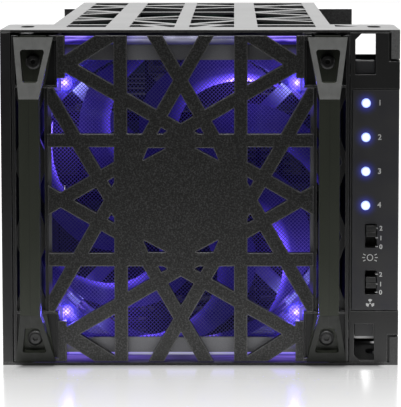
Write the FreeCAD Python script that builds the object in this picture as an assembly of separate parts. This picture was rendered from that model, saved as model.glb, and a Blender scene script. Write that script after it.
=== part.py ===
import FreeCAD, Part
import math
import os

os.makedirs("parts", exist_ok=True)

# Drive cage for three 5.25-inch bays: four drive trays behind a pull-out fan module.
# Millimetres. X runs right seen from the front, Y runs back, Z runs up.

# Standard 3.5-inch drive, and the room round it
bay_count = 4
drive_width = 101.6
drive_height = 26.1
drive_length = 147.0
drive_side_gap = 0.2
drive_end_gap = 4.3
bay_clearance = 5.025

# Sheet metal shell
sheet = 1.0
left_overhang = 17.2
right_overhang = 24.6
cowl_depth = 41.8
cut_past = 3.0
corner_tab_width = 3.2
corner_tab_height = 10.8
corner_round = 3.0
web_bar = 5.0
web_rim = 6.0
web_cells = 5
cover_web_start = 21.0
cover_wide_rib = 9.0
cover_thin_rib = 5.6
cover_rib_spacing = 24.5
cover_drawn_width = 107.2
cover_drawn_depth = 235.0
cover_cross_bars = [37.5, 81.0, 142.0, 205.0]
cover_diagonals = [
    ((0.0, 38.0), (24.5, 76.0)), ((0.0, 108.0), (24.5, 85.0)), ((0.0, 172.0), (24.5, 190.0)),
    ((0.0, 218.0), (24.5, 200.0)), ((6.0, 18.0), (16.0, 40.0)), ((24.5, 80.0), (52.0, 104.0)),
    ((24.5, 84.0), (52.0, 62.0)), ((24.5, 142.0), (52.0, 112.0)), ((24.5, 138.0), (52.0, 166.0)),
    ((24.5, 192.0), (52.0, 164.0)), ((24.5, 188.0), (52.0, 218.0)),
]
flange_window = [(1.5, 24.0), (10.0, 24.0), (1.5, 36.0)]
flange_slot_width = 4.9
flange_slot_start = 17.0
flange_slot_end = 28.7
flange_slot_inset = 8.5
tab_gap = 0.9
end_flat = 0.1

# Fan module
stile_width = 3.8
column_width = 18.4
module_gap = 0.4
module_top_gap = 1.6
module_lip = 0.6
module_depth = 33.5
module_wall = 1.2
wall_window_depth = 28.0
pad_width = 16.8
pad_height = 18.95
pad_recess = 2.0
pad_thickness = 3.0
ledge_height = 0.8
pocket_width = 13.2
pocket_wall = 1.2
pocket_rib = 2.6
pocket_rib_front = 3.0
pocket_rib_depth = 4.0
pocket_side_front = 1.0
pocket_crosses = 3
grille_thickness = 3.0
grille_bar = 5.0
grille_ring = 22.5
grille_side_bar = 3.0
grille_side_rise = 3.5
grille_corner_bar = 5.8
grille_corner_start_x = 25.0
grille_corner_rise = 1.45
grille_corner_drop = 6.8
sliver_corner_a = (12.2, 19.7)
sliver_corner_b = (5.4, 19.7)
sliver_corner_c = (14.2, 15.0)

# Handles
handle_reach = 23.5
handle_inset = 8.2
handle_lip_width = 9.6
handle_notch = 1.1
handle_foot_width = 14.9
handle_bar_width = 7.4
handle_slope_height = 21.4
handle_neck = 4.5
handle_bar_depth = 6.0
handle_foot_step = 1.2
handle_base_length = 18.0
window_top = 4.4
window_height = 11.4
window_round = 1.0
window_wide = 9.2
window_narrow = 5.2
handle_screw_inset = 9.2
handle_seat_gap = 0.1

# Screws
m3_radius = 1.5
m3_head_radius = 2.9
m3_head_height = 2.0
m3_head_round = 1.2
m3_recess_radius = 1.0
m3_recess_depth = 1.0
screw_clearance = 0.2
thread_gap = 0.02

# Dust filter
filter_front = 3.0
filter_depth = 1.6
filter_inset = 1.8
filter_border = 5.7
filter_side_gap = 0.4
mesh_thickness = 0.4

# Fan
fan_wall_gap = 0.05
fan_side_gap = 1.75
fan_depth = 25.0
fan_front = 7.0
fan_rim = 2.0
fan_flange = 4.0
fan_ring_wall = 1.6
fan_corner_round = 5.0
fan_hole_inset = 7.5
fan_hole_radius = 2.15
fan_boss_radius = 5.0
fan_base_radius = 20.5
fan_base_thickness = 3.0
fan_struts = 4
fan_strut_width = 5.0
hub_radius = 19.5
hub_depth = 18.0
hub_front_gap = 1.5
hub_wall = 2.5
hub_cap = 2.0
blade_inset = 0.5
blade_count = 7
blade_gap = 1.6
blade_thickness = 1.8
blade_chord = 34.0
blade_pitch = 52.0
shaft_radius = 1.5
shaft_running_gap = 0.03
bearing_wall = 1.5
bearing_length = 12.0
magnet_wall = 2.0
magnet_front_gap = 2.0
shaft_end_gap = 0.5
stator_radius = 13.2
stator_height = 9.0
stator_gap = 1.0
stator_core_radius = 7.3
stator_notch = 2.4
bearing_tube_radius = 4.4
led_radius = 2.5
led_length = 8.0
led_inset = 16.4
led_gap = 0.05
fan_screw_head_radius = 3.8
fan_screw_head_height = 1.2

# Right side: surround, panel, switches and lights
surround_gap = 0.4
surround_thickness = 2.5
side_wall = 1.5
opening_left_inset = 1.8
opening_width = 7.6
opening_chamfer = 2.2
upper_opening_inset = 1.4
upper_opening_height = 15.2
lower_opening_inset = 1.6
lower_opening_height = 14.1
panel_left_inset = 0.9
panel_right_inset = 0.3
panel_top_inset = 5.9
panel_bottom_inset = 5.4
panel_thickness = 2.0
panel_gap = 0.4
panel_seat_lip = 5.0
light_inset = 5.0
light_top_inset = 4.8
light_pitch = 12.83
light_count = 4
light_radius = 1.7
light_proud = 0.5
light_hole_gap = 0.1
board_front = 9.5
board_thickness = 1.6
board_margin = 1.2
boss_radius = 2.3
boss_inset = 2.4
boss_screw_inset = 1.5
boss_screw_head = 2.5
switch_inset = 7.1
light_switch_height = 28.1
fan_switch_height = 10.5
slot_width = 4.5
slot_height = 9.1
knob_width = 3.7
knob_height = 4.1
knob_step = 1.9
knob_proud = 0.9
knob_groove = 0.6
knob_root = 6.0
switch_body_width = 7.0
switch_body_height = 13.0
switch_body_front = 2.6
switch_gap = 0.25

# Latches beside the panel
latch_height = 4.6
latch_travel = 6.0
latch_front = 1.6
latch_depth = 7.0
latch_hook_front = 10.0
latch_hook_thickness = 2.2
latch_hook_height = 3.0
latch_gap = 0.3
view_bar = 5.0
view_edge = 2.5

# Drive bays
tray_front = 34.5
tray_face = 2.2
tray_side = 1.2
tray_floor = 1.4
tray_side_height = 16.0
tray_gap = 0.4
runner_width = 6.5
runner_thickness = 1.4
runner_gap = 0.3
runner_start_gap = 2.0
runner_end_inset = 5.7
tray_face_gap = 0.5
grip_width = 34.0
grip_height = 11.0
grip_round = 5.4
tray_web = 6.0
tray_window_rows = 5
tray_window_columns = 3
vent_columns = 4
vent_bar = 2.0
vent_margin = 3.5
drive_hole_height = 6.35
drive_hole_insets = [28.5, 130.1]
drive_hole_radius = 1.8

# Backplane
socket_depth = 6.0
socket_width = 44.0
socket_height = 7.0
socket_wall = 2.0
socket_floor = 1.0
backplane_thickness = 1.6
backplane_inset = 2.0
plate_left_inset = 10.9
plate_right_inset = 8.9
plate_thickness = 1.6
data_width = 16.0
data_height = 8.0
data_depth = 12.0
power_width = 22.0
power_height = 11.0
power_depth = 16.0
connector_wall = 1.2
tongue_thickness = 1.2
connector_offset = 30.0
socket_rise = 1.0
plate_vent_width = 20.0
plate_vent_height = 16.0
contact_overlap = 6.0
contact_board = 1.2
contact_length = 14.0
contact_socket_depth = 6.5
standoff_radius = 3.0
standoff_length = 2.0
cowl_wall = 1.2

# Side brackets to the 5.25-inch bay standard
bay_side_gap = 1.475
bracket_sheet = 1.2
bracket_bottom = 1.6
bracket_top_margin = 6.4
bracket_end_inset = 33.7
bracket_cells = 3
bracket_lip = 10.0
mount_row_low = 10.0
mount_row_spacing = 84.6
mount_first = 52.3
mount_pitch = 79.2

# Control lead
lead_radius = 1.8
arc_share = 0.45
plug_depth = 8.0
plug_width = 9.0
plug_height = 6.0

# Sizes that follow from the others
bay_pitch = drive_height + bay_clearance
overall_height = bay_count * bay_pitch + 2 * sheet
cage_width = drive_width + 2 * (drive_side_gap + tray_side + tray_gap + sheet)
overall_width = left_overhang + cage_width + right_overhang
half_width = overall_width / 2
cage_left = left_overhang - half_width
cage_right = half_width - right_overhang
cage_centre_x = (cage_left + cage_right) / 2
module_left = -half_width + stile_width + module_gap
module_right = half_width - column_width - surround_gap
module_width = module_right - module_left
module_centre_x = (module_left + module_right) / 2
half_module = module_width / 2
module_bottom = sheet + module_gap
module_top = overall_height - sheet - module_top_gap
module_centre_z = (module_bottom + module_top) / 2
module_half_height = (module_top - module_bottom) / 2
pad_inner_x = half_module - pad_width
pad_inner_z = module_half_height - pad_height
pocket_wall_x = half_module - pocket_width
handle_offset_x = half_module - handle_inset
grille_corner_start = (grille_corner_start_x, module_half_height + grille_corner_rise)
grille_corner_end = (pad_inner_x, pad_inner_z + grille_corner_drop)
fan_room_height = module_half_height - module_wall - fan_wall_gap
fan_room_width = half_module - module_wall - fan_side_gap
fan_size = 2 * min(fan_room_height, fan_room_width)
fan_bore = fan_size / 2 - fan_rim
fan_hole_pitch = fan_size - 2 * fan_hole_inset
blade_tip = fan_bore - blade_gap
led_offset = fan_size / 2 - led_inset
filter_outer = fan_size - 2 * filter_inset
filter_inner = filter_outer - 2 * filter_border
pads_back = fan_front + fan_depth + contact_board
front_box_depth = pads_back + latch_gap + contact_socket_depth
shell_low = sheet
shell_high = overall_height - sheet
face_back = tray_front + tray_face
tray_face_height = tray_floor + drive_height + tray_face_gap
drive_end = face_back + drive_length
runner_start = front_box_depth + runner_start_gap
runner_end = drive_end - runner_end_inset
bracket_end = drive_end - bracket_end_inset
backplane_front = drive_end + drive_end_gap
board_back = backplane_front + backplane_thickness
plate_front = board_back + standoff_length
plate_back = plate_front + plate_thickness
plate_left = -half_width + plate_left_inset
plate_right = half_width - plate_right_inset
body_depth = plate_back + cowl_depth
front_y = -(body_depth + handle_reach) / 2 + handle_reach
bay_width = overall_width - 2 * bay_side_gap
bracket_top = mount_row_low + mount_row_spacing + bracket_top_margin
surround_left = module_right + surround_gap
panel_left = surround_left + panel_left_inset
panel_right = half_width - panel_right_inset
opening_left = surround_left + opening_left_inset
opening_right = opening_left + opening_width
upper_opening_top = overall_height - upper_opening_inset
upper_opening_bottom = upper_opening_top - upper_opening_height
lower_opening_bottom = lower_opening_inset
lower_opening_top = lower_opening_bottom + lower_opening_height
lead_places = [(11.5, board_front + board_thickness, 25.0), (11.5, 22.0, 25.0), (12.5, 33.0, 17.0),
               (13.5, 50.0, 10.5), (15.0, 78.0, 9.0), (15.5, 112.0, 10.5), (14.5, 146.0, 11.5),
               (14.5, plate_front - plug_depth, 11.5)]
lead_route = [(half_width - inset, depth, z) for inset, depth, z in lead_places]
panel_top = upper_opening_bottom - panel_top_inset
panel_bottom = lower_opening_top + panel_bottom_inset
light_x = panel_left + light_inset
light_top_z = panel_top - light_top_inset
switch_x = panel_left + switch_inset
light_switch_z = panel_bottom + light_switch_height
fan_switch_z = panel_bottom + fan_switch_height


def at(depth):
    return front_y + depth


def box(x0, x1, depth0, depth1, z0, z1):
    return Part.makeBox(x1 - x0, depth1 - depth0, z1 - z0, FreeCAD.Vector(x0, at(depth0), z0))


def rod(x, z, radius, depth0, depth1):
    base = FreeCAD.Vector(x, at(depth0), z)
    return Part.makeCylinder(radius, depth1 - depth0, base, FreeCAD.Vector(0, 1, 0))


def tube(x, z, outer, inner, depth0, depth1):
    return rod(x, z, outer, depth0, depth1).cut(rod(x, z, inner, depth0, depth1))


def joined(shapes):
    whole = shapes[0].multiFuse(shapes[1:]) if len(shapes) > 1 else shapes[0]
    return whole.removeSplitter()


def without(shape, cutters):
    return shape.cut(Part.makeCompound(cutters))


def wire_xz(points, depth):
    corners = [FreeCAD.Vector(x, at(depth), z) for x, z in points]
    return Part.makePolygon(corners + corners[:1])


def prism_y(points, depth0, depth1):
    return Part.Face(wire_xz(points, depth0)).extrude(FreeCAD.Vector(0, depth1 - depth0, 0))


def mirrored_x(shape, x):
    return shape.mirror(FreeCAD.Vector(x, 0, 0), FreeCAD.Vector(1, 0, 0))


def mirrored_z(shape, z):
    return shape.mirror(FreeCAD.Vector(0, 0, z), FreeCAD.Vector(0, 0, 1))


def save(name, shape):
    solids = shape.Solids
    whole = solids[0] if len(solids) == 1 else Part.makeCompound(solids)
    whole.exportStep("parts/" + name + ".step")
    print(name, len(solids), round(shape.Volume, 1), shape.isValid())


def rounded_rectangle(x0, x1, z0, z1, radius, depth0, depth1):
    block = box(x0, x1, depth0, depth1, z0, z1)
    edges = [e for e in block.Edges if abs(e.BoundBox.YLength - (depth1 - depth0)) < 1e-6]
    return block.makeFillet(radius, edges)


# Pierced sheet: each cell of the web holds two crossed bars, so four three-sided windows
def cell_windows(u0, u1, v0, v1):
    half = web_bar / 2
    width = u1 - u0
    length = v1 - v0
    slant = math.hypot(width, length)
    along_u = half * slant / length
    along_v = half * slant / width
    middle_u = (u0 + u1) / 2
    middle_v = (v0 + v1) / 2
    low_u = u0 + half
    high_u = u1 - half
    low_v = v0 + half
    high_v = v1 - half
    inset_u = along_u + half * width / length
    inset_v = along_v + half * length / width
    return [
        [(u0 + inset_u, low_v), (u1 - inset_u, low_v), (middle_u, middle_v - along_v)],
        [(u0 + inset_u, high_v), (middle_u, middle_v + along_v), (u1 - inset_u, high_v)],
        [(low_u, v0 + inset_v), (middle_u - along_u, middle_v), (low_u, v1 - inset_v)],
        [(high_u, v0 + inset_v), (high_u, v1 - inset_v), (middle_u + along_u, middle_v)],
    ]


def pierced_upright(outline, windows, x, thickness):
    wires = []
    for points in [outline] + windows:
        corners = [FreeCAD.Vector(x, at(y), z) for y, z in points]
        wires.append(Part.makePolygon(corners + corners[:1]))
    face = Part.Face(wires[0]).cut(Part.makeCompound([Part.Face(w) for w in wires[1:]]))
    return face.extrude(FreeCAD.Vector(thickness, 0, 0))


# Plan of the shell: a wide front box with rounded back corners, then the narrower cage
cover_outline = [(-half_width, 0), (half_width, 0), (half_width, front_box_depth),
                 (cage_right, front_box_depth), (cage_right, body_depth), (cage_left, body_depth),
                 (cage_left, front_box_depth), (-half_width, front_box_depth)]


def flat_prism(points, z, thickness):
    corners = [FreeCAD.Vector(x, at(y), z) for x, y in points]
    return Part.Face(Part.makePolygon(corners + corners[:1])).extrude(FreeCAD.Vector(0, 0, thickness))


def shell_plan(z, thickness):
    block = flat_prism(cover_outline, z, thickness)
    uprights = [e for e in block.Edges if e.BoundBox.XLength < 1e-6 and e.BoundBox.YLength < 1e-6]
    corners = [e for e in uprights if abs(abs(e.BoundBox.XMin) - half_width) < 1e-6
               and abs(e.BoundBox.YMin - at(front_box_depth)) < 1e-6]
    return block.makeFillet(corner_round, corners)


def sloped_bar(start, end, width, z):
    length = math.hypot(end[0] - start[0], end[1] - start[1])
    off_x = -(end[1] - start[1]) / length * width / 2
    off_y = (end[0] - start[0]) / length * width / 2
    points = [(start[0] + off_x, start[1] + off_y), (end[0] + off_x, end[1] + off_y),
              (end[0] - off_x, end[1] - off_y), (start[0] - off_x, start[1] - off_y)]
    return flat_prism(points, z, sheet)


def cover_web(z):
    middle = module_centre_x
    widen = cage_width / cover_drawn_width
    stretch = body_depth / cover_drawn_depth
    rib_offset = cover_rib_spacing * widen
    bars = []
    for offset, width in ((-rib_offset, cover_wide_rib), (0, cover_thin_rib), (rib_offset, cover_wide_rib)):
        bars.append(box(middle + offset - width / 2, middle + offset + width / 2, cover_web_start,
                        body_depth, z, z + sheet))
    for drawn in cover_cross_bars:
        depth = drawn * stretch
        bars.append(box(cage_left, cage_right, depth - web_bar / 2, depth + web_bar / 2, z, z + sheet))
    for start, end in cover_diagonals:
        for side in (-1, 1):
            bars.append(sloped_bar((middle + side * start[0] * widen, start[1] * stretch),
                                   (middle + side * end[0] * widen, end[1] * stretch), web_bar, z))
    return bars


def upright_slot(x, width, depth0, depth1, z):
    block = box(x - width / 2, x + width / 2, depth0, depth1, z, z + sheet)
    edges = [e for e in block.Edges if abs(e.BoundBox.ZLength - sheet) < 1e-6]
    return block.makeFillet(width / 2 - end_flat, edges)


def cover(z, tab_bottom):
    plate = shell_plan(z, sheet)
    region = box(cage_left + web_rim, cage_right - web_rim, cover_web_start, body_depth - web_rim,
                 z, z + sheet)
    web = [bar.common(region) for bar in cover_web(z)]
    slots = []
    for side in (-1, 1):
        x = side * (half_width - flange_slot_inset)
        slots.append(upright_slot(x, flange_slot_width, flange_slot_start, flange_slot_end, z))
    slots.append(flat_prism([(cage_right + x, y) for x, y in flange_window], z, sheet))
    plate = without(plate.cut(region), slots)
    tab = box(half_width - corner_tab_width, half_width, 0, sheet, tab_bottom, tab_bottom + corner_tab_height)
    side_lip = box(half_width - sheet, half_width, 0, front_box_depth / 2, tab_bottom,
                   tab_bottom + corner_tab_height)
    return joined([plate, tab, side_lip] + web)


top_cover = cover(overall_height - sheet, overall_height - corner_tab_height)
bottom_cover = cover(0, 0)

# Cage side walls, each bent outward at the back of the wide front box

def cage_wall(outer_x, direction):
    outline = [(front_box_depth, shell_low), (plate_front, shell_low), (plate_front, shell_high),
               (front_box_depth, shell_high)]
    rows = [shell_low + web_rim / 2, (shell_low + shell_high) / 2, shell_high - web_rim / 2]
    start = front_box_depth + web_rim
    end = plate_front - web_rim
    step = (end - start) / web_cells
    windows = []
    for row in range(len(rows) - 1):
        for cell in range(web_cells):
            windows += cell_windows(start + cell * step, start + (cell + 1) * step, rows[row], rows[row + 1])
    wall = pierced_upright(outline, windows, outer_x, -direction * sheet)
    edge = direction * (half_width - corner_round)
    wing = box(min(outer_x, edge), max(outer_x, edge), front_box_depth, front_box_depth + sheet,
               shell_low, shell_high)
    return wall, wing


left_wall, left_wing = cage_wall(cage_left, -1)
right_wall, right_wing = cage_wall(cage_right, 1)
view_left = opening_left - latch_gap
view_right = half_width - corner_round - view_edge
right_wing = without(right_wing, [
    box(view_left, view_right, 0, body_depth, upper_opening_bottom + view_bar, shell_high),
    box(view_left, view_right, 0, body_depth, shell_low, lower_opening_top + view_bar),
    box(view_left, view_right, 0, body_depth, lower_opening_top + 3 * view_bar,
        upper_opening_bottom - 2 * view_bar),
])
left_side_wall = joined([left_wall, left_wing])
right_side_wall = joined([right_wall, right_wing])

# Plastic mouldings either side of the fan module
stile_right = module_left - module_gap
box_plan = shell_plan(shell_low, shell_high - shell_low)
left_stile = joined([
    box(-half_width, stile_right, 0, surround_thickness, shell_low, shell_high),
    box(-half_width, -half_width + side_wall, 0, front_box_depth, shell_low, shell_high),
    box(-half_width, stile_right, front_box_depth - side_wall, front_box_depth, shell_low, shell_high),
]).common(box_plan)

surround = joined([
    box(surround_left, half_width, 0, surround_thickness, shell_low, shell_high),
    box(half_width - side_wall, half_width, 0, front_box_depth, shell_low, shell_high),
    box(surround_left, surround_left + side_wall / 2, 0, board_front + board_thickness,
        panel_bottom - panel_seat_lip, panel_top + panel_seat_lip),
]).common(box_plan)
front_cut = -cut_past
upper_opening = prism_y([
    (opening_left, upper_opening_bottom), (opening_right, upper_opening_bottom),
    (opening_right, upper_opening_top), (opening_left + opening_chamfer, upper_opening_top),
    (opening_left, upper_opening_top - opening_chamfer)], front_cut, board_front)
lower_opening = prism_y([
    (opening_left, lower_opening_bottom + opening_chamfer),
    (opening_left + opening_chamfer, lower_opening_bottom),
    (opening_right, lower_opening_bottom), (opening_right, lower_opening_top),
    (opening_left, lower_opening_top)], front_cut, board_front)
panel_seat = box(panel_left - panel_gap, half_width, front_cut, panel_thickness,
                 panel_bottom - panel_gap, panel_top + panel_gap)
board_space = box(panel_left + board_margin / 2, half_width - side_wall, 0, board_front,
                  panel_bottom + board_margin, panel_top - board_margin)
upper_tab_space = box(half_width - corner_tab_width - tab_gap, half_width, front_cut, sheet,
                      overall_height - corner_tab_height - tab_gap, overall_height)
lower_tab_space = box(half_width - corner_tab_width - tab_gap, half_width, front_cut, sheet,
                      0, corner_tab_height + tab_gap)
upper_lip_space = box(half_width - sheet, half_width, front_cut, front_box_depth / 2 + panel_gap,
                      overall_height - corner_tab_height - panel_gap, overall_height)
lower_lip_space = box(half_width - sheet, half_width, front_cut, front_box_depth / 2 + panel_gap,
                      0, corner_tab_height + panel_gap)
right_surround = without(surround, [upper_opening, lower_opening, panel_seat, board_space, upper_tab_space,
                                    lower_tab_space, upper_lip_space, lower_lip_space])

# Control panel with four lights and two slide switches
panel = box(panel_left, panel_right, 0, panel_thickness, panel_bottom, panel_top)
light_heights = [light_top_z - light_pitch * n for n in range(light_count)]
panel_cuts = [rod(light_x, z, light_radius + light_hole_gap, front_cut, panel_thickness)
              for z in light_heights]
switch_heights = [light_switch_z, fan_switch_z]
for z in switch_heights:
    panel_cuts.append(box(switch_x - slot_width / 2, switch_x + slot_width / 2, front_cut, panel_thickness,
                          z - slot_height / 2, z + slot_height / 2))
boss_x = half_width - side_wall - boss_radius - panel_gap
boss_heights = [panel_bottom + boss_radius + boss_inset, panel_top - boss_radius - boss_inset]
bosses = [rod(boss_x, z, boss_radius, panel_thickness, board_front) for z in boss_heights]
boss_holes = [rod(boss_x, z, m3_radius, panel_thickness, board_front + board_thickness) for z in boss_heights]
control_panel = without(joined([without(panel, panel_cuts)] + bosses), boss_holes)
control_board = without(
    box(panel_left + board_margin, half_width - side_wall - panel_gap, board_front,
        board_front + board_thickness, panel_bottom + board_margin, panel_top - board_margin), boss_holes)
status_lights = Part.makeCompound([
    joined([rod(light_x, z, light_radius, 0, board_front),
            Part.makeSphere(light_radius, FreeCAD.Vector(light_x, at(0), z)).common(
                box(light_x - light_radius, light_x + light_radius, -light_proud, light_radius,
                    z - light_radius, z + light_radius))])
    for z in light_heights])
control_board_screws = Part.makeCompound([
    joined([rod(boss_x, z, boss_screw_head, board_front + board_thickness,
                board_front + board_thickness + m3_head_height),
            rod(boss_x, z, m3_radius - thread_gap, panel_thickness + boss_screw_inset,
                board_front + board_thickness)])
    for z in boss_heights])


def switch_body(z):
    body = box(switch_x - switch_body_width / 2, switch_x + switch_body_width / 2, switch_body_front,
               board_front, z - switch_body_height / 2, z + switch_body_height / 2)
    reach = knob_height / 2 + knob_step + switch_gap
    track = box(switch_x - knob_width / 2 - switch_gap, switch_x + knob_width / 2 + switch_gap, 0,
                knob_root + switch_gap, z - reach, z + reach)
    return body.cut(track)


def knob(z):
    cap = box(switch_x - knob_width / 2, switch_x + knob_width / 2, -knob_proud, knob_root,
              z - knob_height / 2, z + knob_height / 2)
    groove = box(switch_x - knob_width / 2, switch_x + knob_width / 2, -knob_proud, -knob_proud / 2,
                 z - knob_groove / 2, z + knob_groove / 2)
    return cap.cut(groove)


light_switch_knob = knob(light_switch_z + knob_step)
fan_switch_knob = knob(fan_switch_z)

# Sliding latches with hooks that enter the side of the fan module
hook_tip = module_right - module_wall - latch_gap


def latch(z0, hook_z0):
    block = box(opening_left + latch_gap, opening_right - latch_gap, latch_front, latch_front + latch_depth,
                z0, z0 + latch_height)
    stem = box(opening_left + latch_gap, opening_left + latch_gap + latch_hook_thickness,
               latch_front + latch_depth, latch_hook_front + latch_hook_thickness, z0, z0 + latch_height)
    hook = box(hook_tip, opening_left + latch_gap + latch_hook_thickness, latch_hook_front,
               latch_hook_front + latch_hook_thickness, hook_z0, hook_z0 + latch_hook_height)
    return joined([block, stem, hook])


upper_latch_z = upper_opening_bottom + latch_gap
lower_latch_z = lower_opening_top - latch_gap - latch_height
hook_offset = (latch_height - latch_hook_height) / 2
upper_latch = latch(upper_latch_z, upper_latch_z + hook_offset)
lower_latch = latch(lower_latch_z, lower_latch_z + hook_offset)

# Fan module frame: tub, corner pads, pocket walls and the crossed ribs behind the handles
def centred(dx0, dx1, depth0, depth1, dz0, dz1):
    return box(module_centre_x + dx0, module_centre_x + dx1, depth0, depth1,
               module_centre_z + dz0, module_centre_z + dz1)


tub = centred(-half_module, half_module, 0, module_depth, -module_half_height,
              module_half_height + module_lip)
tub = without(tub, [
    centred(-half_module + module_wall, half_module - module_wall, front_cut, body_depth,
            -module_half_height + module_wall, module_half_height - module_wall),
    centred(-pad_inner_x, pad_inner_x, front_cut, wall_window_depth, -2 * module_half_height,
            2 * module_half_height),
])


def quarter_pads():
    pad = centred(pad_inner_x, half_module, pad_recess, pad_recess + pad_thickness, pad_inner_z,
                  module_half_height)
    ledge = centred(pad_inner_x, half_module, 0, pad_recess + pad_thickness, pad_inner_z,
                    pad_inner_z + ledge_height)
    side = centred(pad_inner_x, pad_inner_x + ledge_height, pocket_side_front, pad_recess + pad_thickness,
                   pad_inner_z, module_half_height)
    return [pad, ledge, side]


def crossed_ribs():
    ribs = []
    left = pocket_wall_x + pocket_wall
    right = half_module - module_wall
    pitch = 2 * pad_inner_z / pocket_crosses
    for n in range(pocket_crosses):
        low = -pad_inner_z + n * pitch
        for start, end in (((left, low), (right, low + pitch)), ((left, low + pitch), (right, low))):
            span_x = end[0] - start[0]
            span_z = end[1] - start[1]
            half = pocket_rib / 2 * math.hypot(span_x, span_z) / abs(span_x)
            points = [(start[0], start[1] - half), (end[0], end[1] - half), (end[0], end[1] + half),
                      (start[0], start[1] + half)]
            points = [(module_centre_x + x, module_centre_z + z) for x, z in points]
            ribs.append(prism_y(points, pocket_rib_front, pocket_rib_front + pocket_rib_depth))
    pocket = centred(left - pocket_wall, right + module_wall, 0, fan_front, -pad_inner_z, pad_inner_z)
    return [rib.common(pocket) for rib in ribs]


pocket_side = centred(pocket_wall_x, pocket_wall_x + pocket_wall, pocket_side_front, fan_front,
                      -pad_inner_z, pad_inner_z)
quarter = quarter_pads()
half_side = quarter + [mirrored_z(s, module_centre_z) for s in quarter] + crossed_ribs() + [pocket_side]
frame_parts = [tub] + half_side + [mirrored_x(s, module_centre_x) for s in half_side]
screw_seats = [(sx * handle_offset_x, sz * (module_half_height - handle_screw_inset))
               for sx in (-1, 1) for sz in (-1, 1)]
screw_holes = [rod(module_centre_x + dx, module_centre_z + dz, m3_radius, 0, fan_front)
               for dx, dz in screw_seats]
hook_channels = []
for low in (upper_latch_z + hook_offset, lower_latch_z + hook_offset):
    hook_channels.append(box(hook_tip - latch_gap, module_right, latch_hook_front - latch_gap, module_depth,
                             low - latch_gap, low + latch_hook_height + latch_gap))
hook_back = latch_hook_front + latch_hook_thickness + latch_gap
hook_channels.append(box(hook_tip - latch_gap, module_right, latch_hook_front - latch_gap, hook_back,
                         upper_latch_z + hook_offset - latch_gap,
                         upper_latch_z + hook_offset + latch_hook_height + latch_travel + latch_gap))
hook_channels.append(box(hook_tip - latch_gap, module_right, latch_hook_front - latch_gap, hook_back,
                         lower_latch_z + hook_offset - latch_travel - latch_gap,
                         lower_latch_z + hook_offset + latch_hook_height + latch_gap))
notch_half = handle_lip_width / 2 + handle_notch
lip_notches = [centred(sx * handle_offset_x - notch_half, sx * handle_offset_x + notch_half, front_cut,
                       grille_thickness, module_half_height - handle_seat_gap, 2 * module_half_height)
               for sx in (-1, 1)]
module_frame = without(joined(frame_parts), screw_holes + hook_channels + lip_notches)

# Grille: twelve straight bars, each tangent to one ring, with a closed centre
grille_top = module_half_height + module_lip
grille_outline = joined([
    centred(-pad_inner_x, pad_inner_x, 0, grille_thickness, -module_half_height, grille_top),
    centred(-pocket_wall_x, pocket_wall_x, 0, grille_thickness, -pad_inner_z, pad_inner_z),
])
bar_reach = 2 * half_module


def tangent_bar(turn):
    half = grille_bar / 2
    middle_x = grille_ring * math.cos(turn)
    middle_z = grille_ring * math.sin(turn)
    along_x = -math.sin(turn) * bar_reach
    along_z = math.cos(turn) * bar_reach
    off_x = math.cos(turn) * half
    off_z = math.sin(turn) * half
    points = [(middle_x + along_x + off_x, middle_z + along_z + off_z),
              (middle_x - along_x + off_x, middle_z - along_z + off_z),
              (middle_x - along_x - off_x, middle_z - along_z - off_z),
              (middle_x + along_x - off_x, middle_z + along_z - off_z)]
    return prism_y([(module_centre_x + x, module_centre_z + z) for x, z in points], 0, grille_thickness)


grille_bars = [tangent_bar(math.radians(30 * n)) for n in range(12)]
grille_bars.append(centred(-grille_ring, grille_ring, 0, grille_thickness, -grille_ring, grille_ring))
for side in (-1, 1):
    edge_x = side * (pad_inner_x - grille_side_bar / 2)
    for low, high in ((pad_inner_z + grille_side_rise, grille_top),
                      (-module_half_height, -pad_inner_z - grille_side_rise)):
        grille_bars.append(centred(edge_x - grille_side_bar / 2, edge_x + grille_side_bar / 2, 0,
                                   grille_thickness, low, high))
for sx in (-1, 1):
    for sz in (-1, 1):
        (x0, z0), (x1, z1) = grille_corner_start, grille_corner_end
        length = math.hypot(x1 - x0, z1 - z0)
        off_x = (z0 - z1) / length * grille_corner_bar / 2
        off_z = (x1 - x0) / length * grille_corner_bar / 2
        points = [(x0 + off_x, z0 + off_z), (x1 + off_x, z1 + off_z), (x1 - off_x, z1 - off_z),
                  (x0 - off_x, z0 - off_z)]
        grille_bars.append(prism_y([(module_centre_x + sx * x, module_centre_z + sz * z) for x, z in points],
                                   0, grille_thickness))
slivers = []
for sx in (-1, 1):
    for sz in (-1, 1):
        points = [(module_centre_x + sx * x, module_centre_z + sz * z)
                  for x, z in (sliver_corner_a, sliver_corner_b, sliver_corner_c)]
        slivers.append(prism_y(points, 0, grille_thickness))
fan_grille = without(joined([bar.common(grille_outline) for bar in grille_bars]), slivers)

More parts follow.
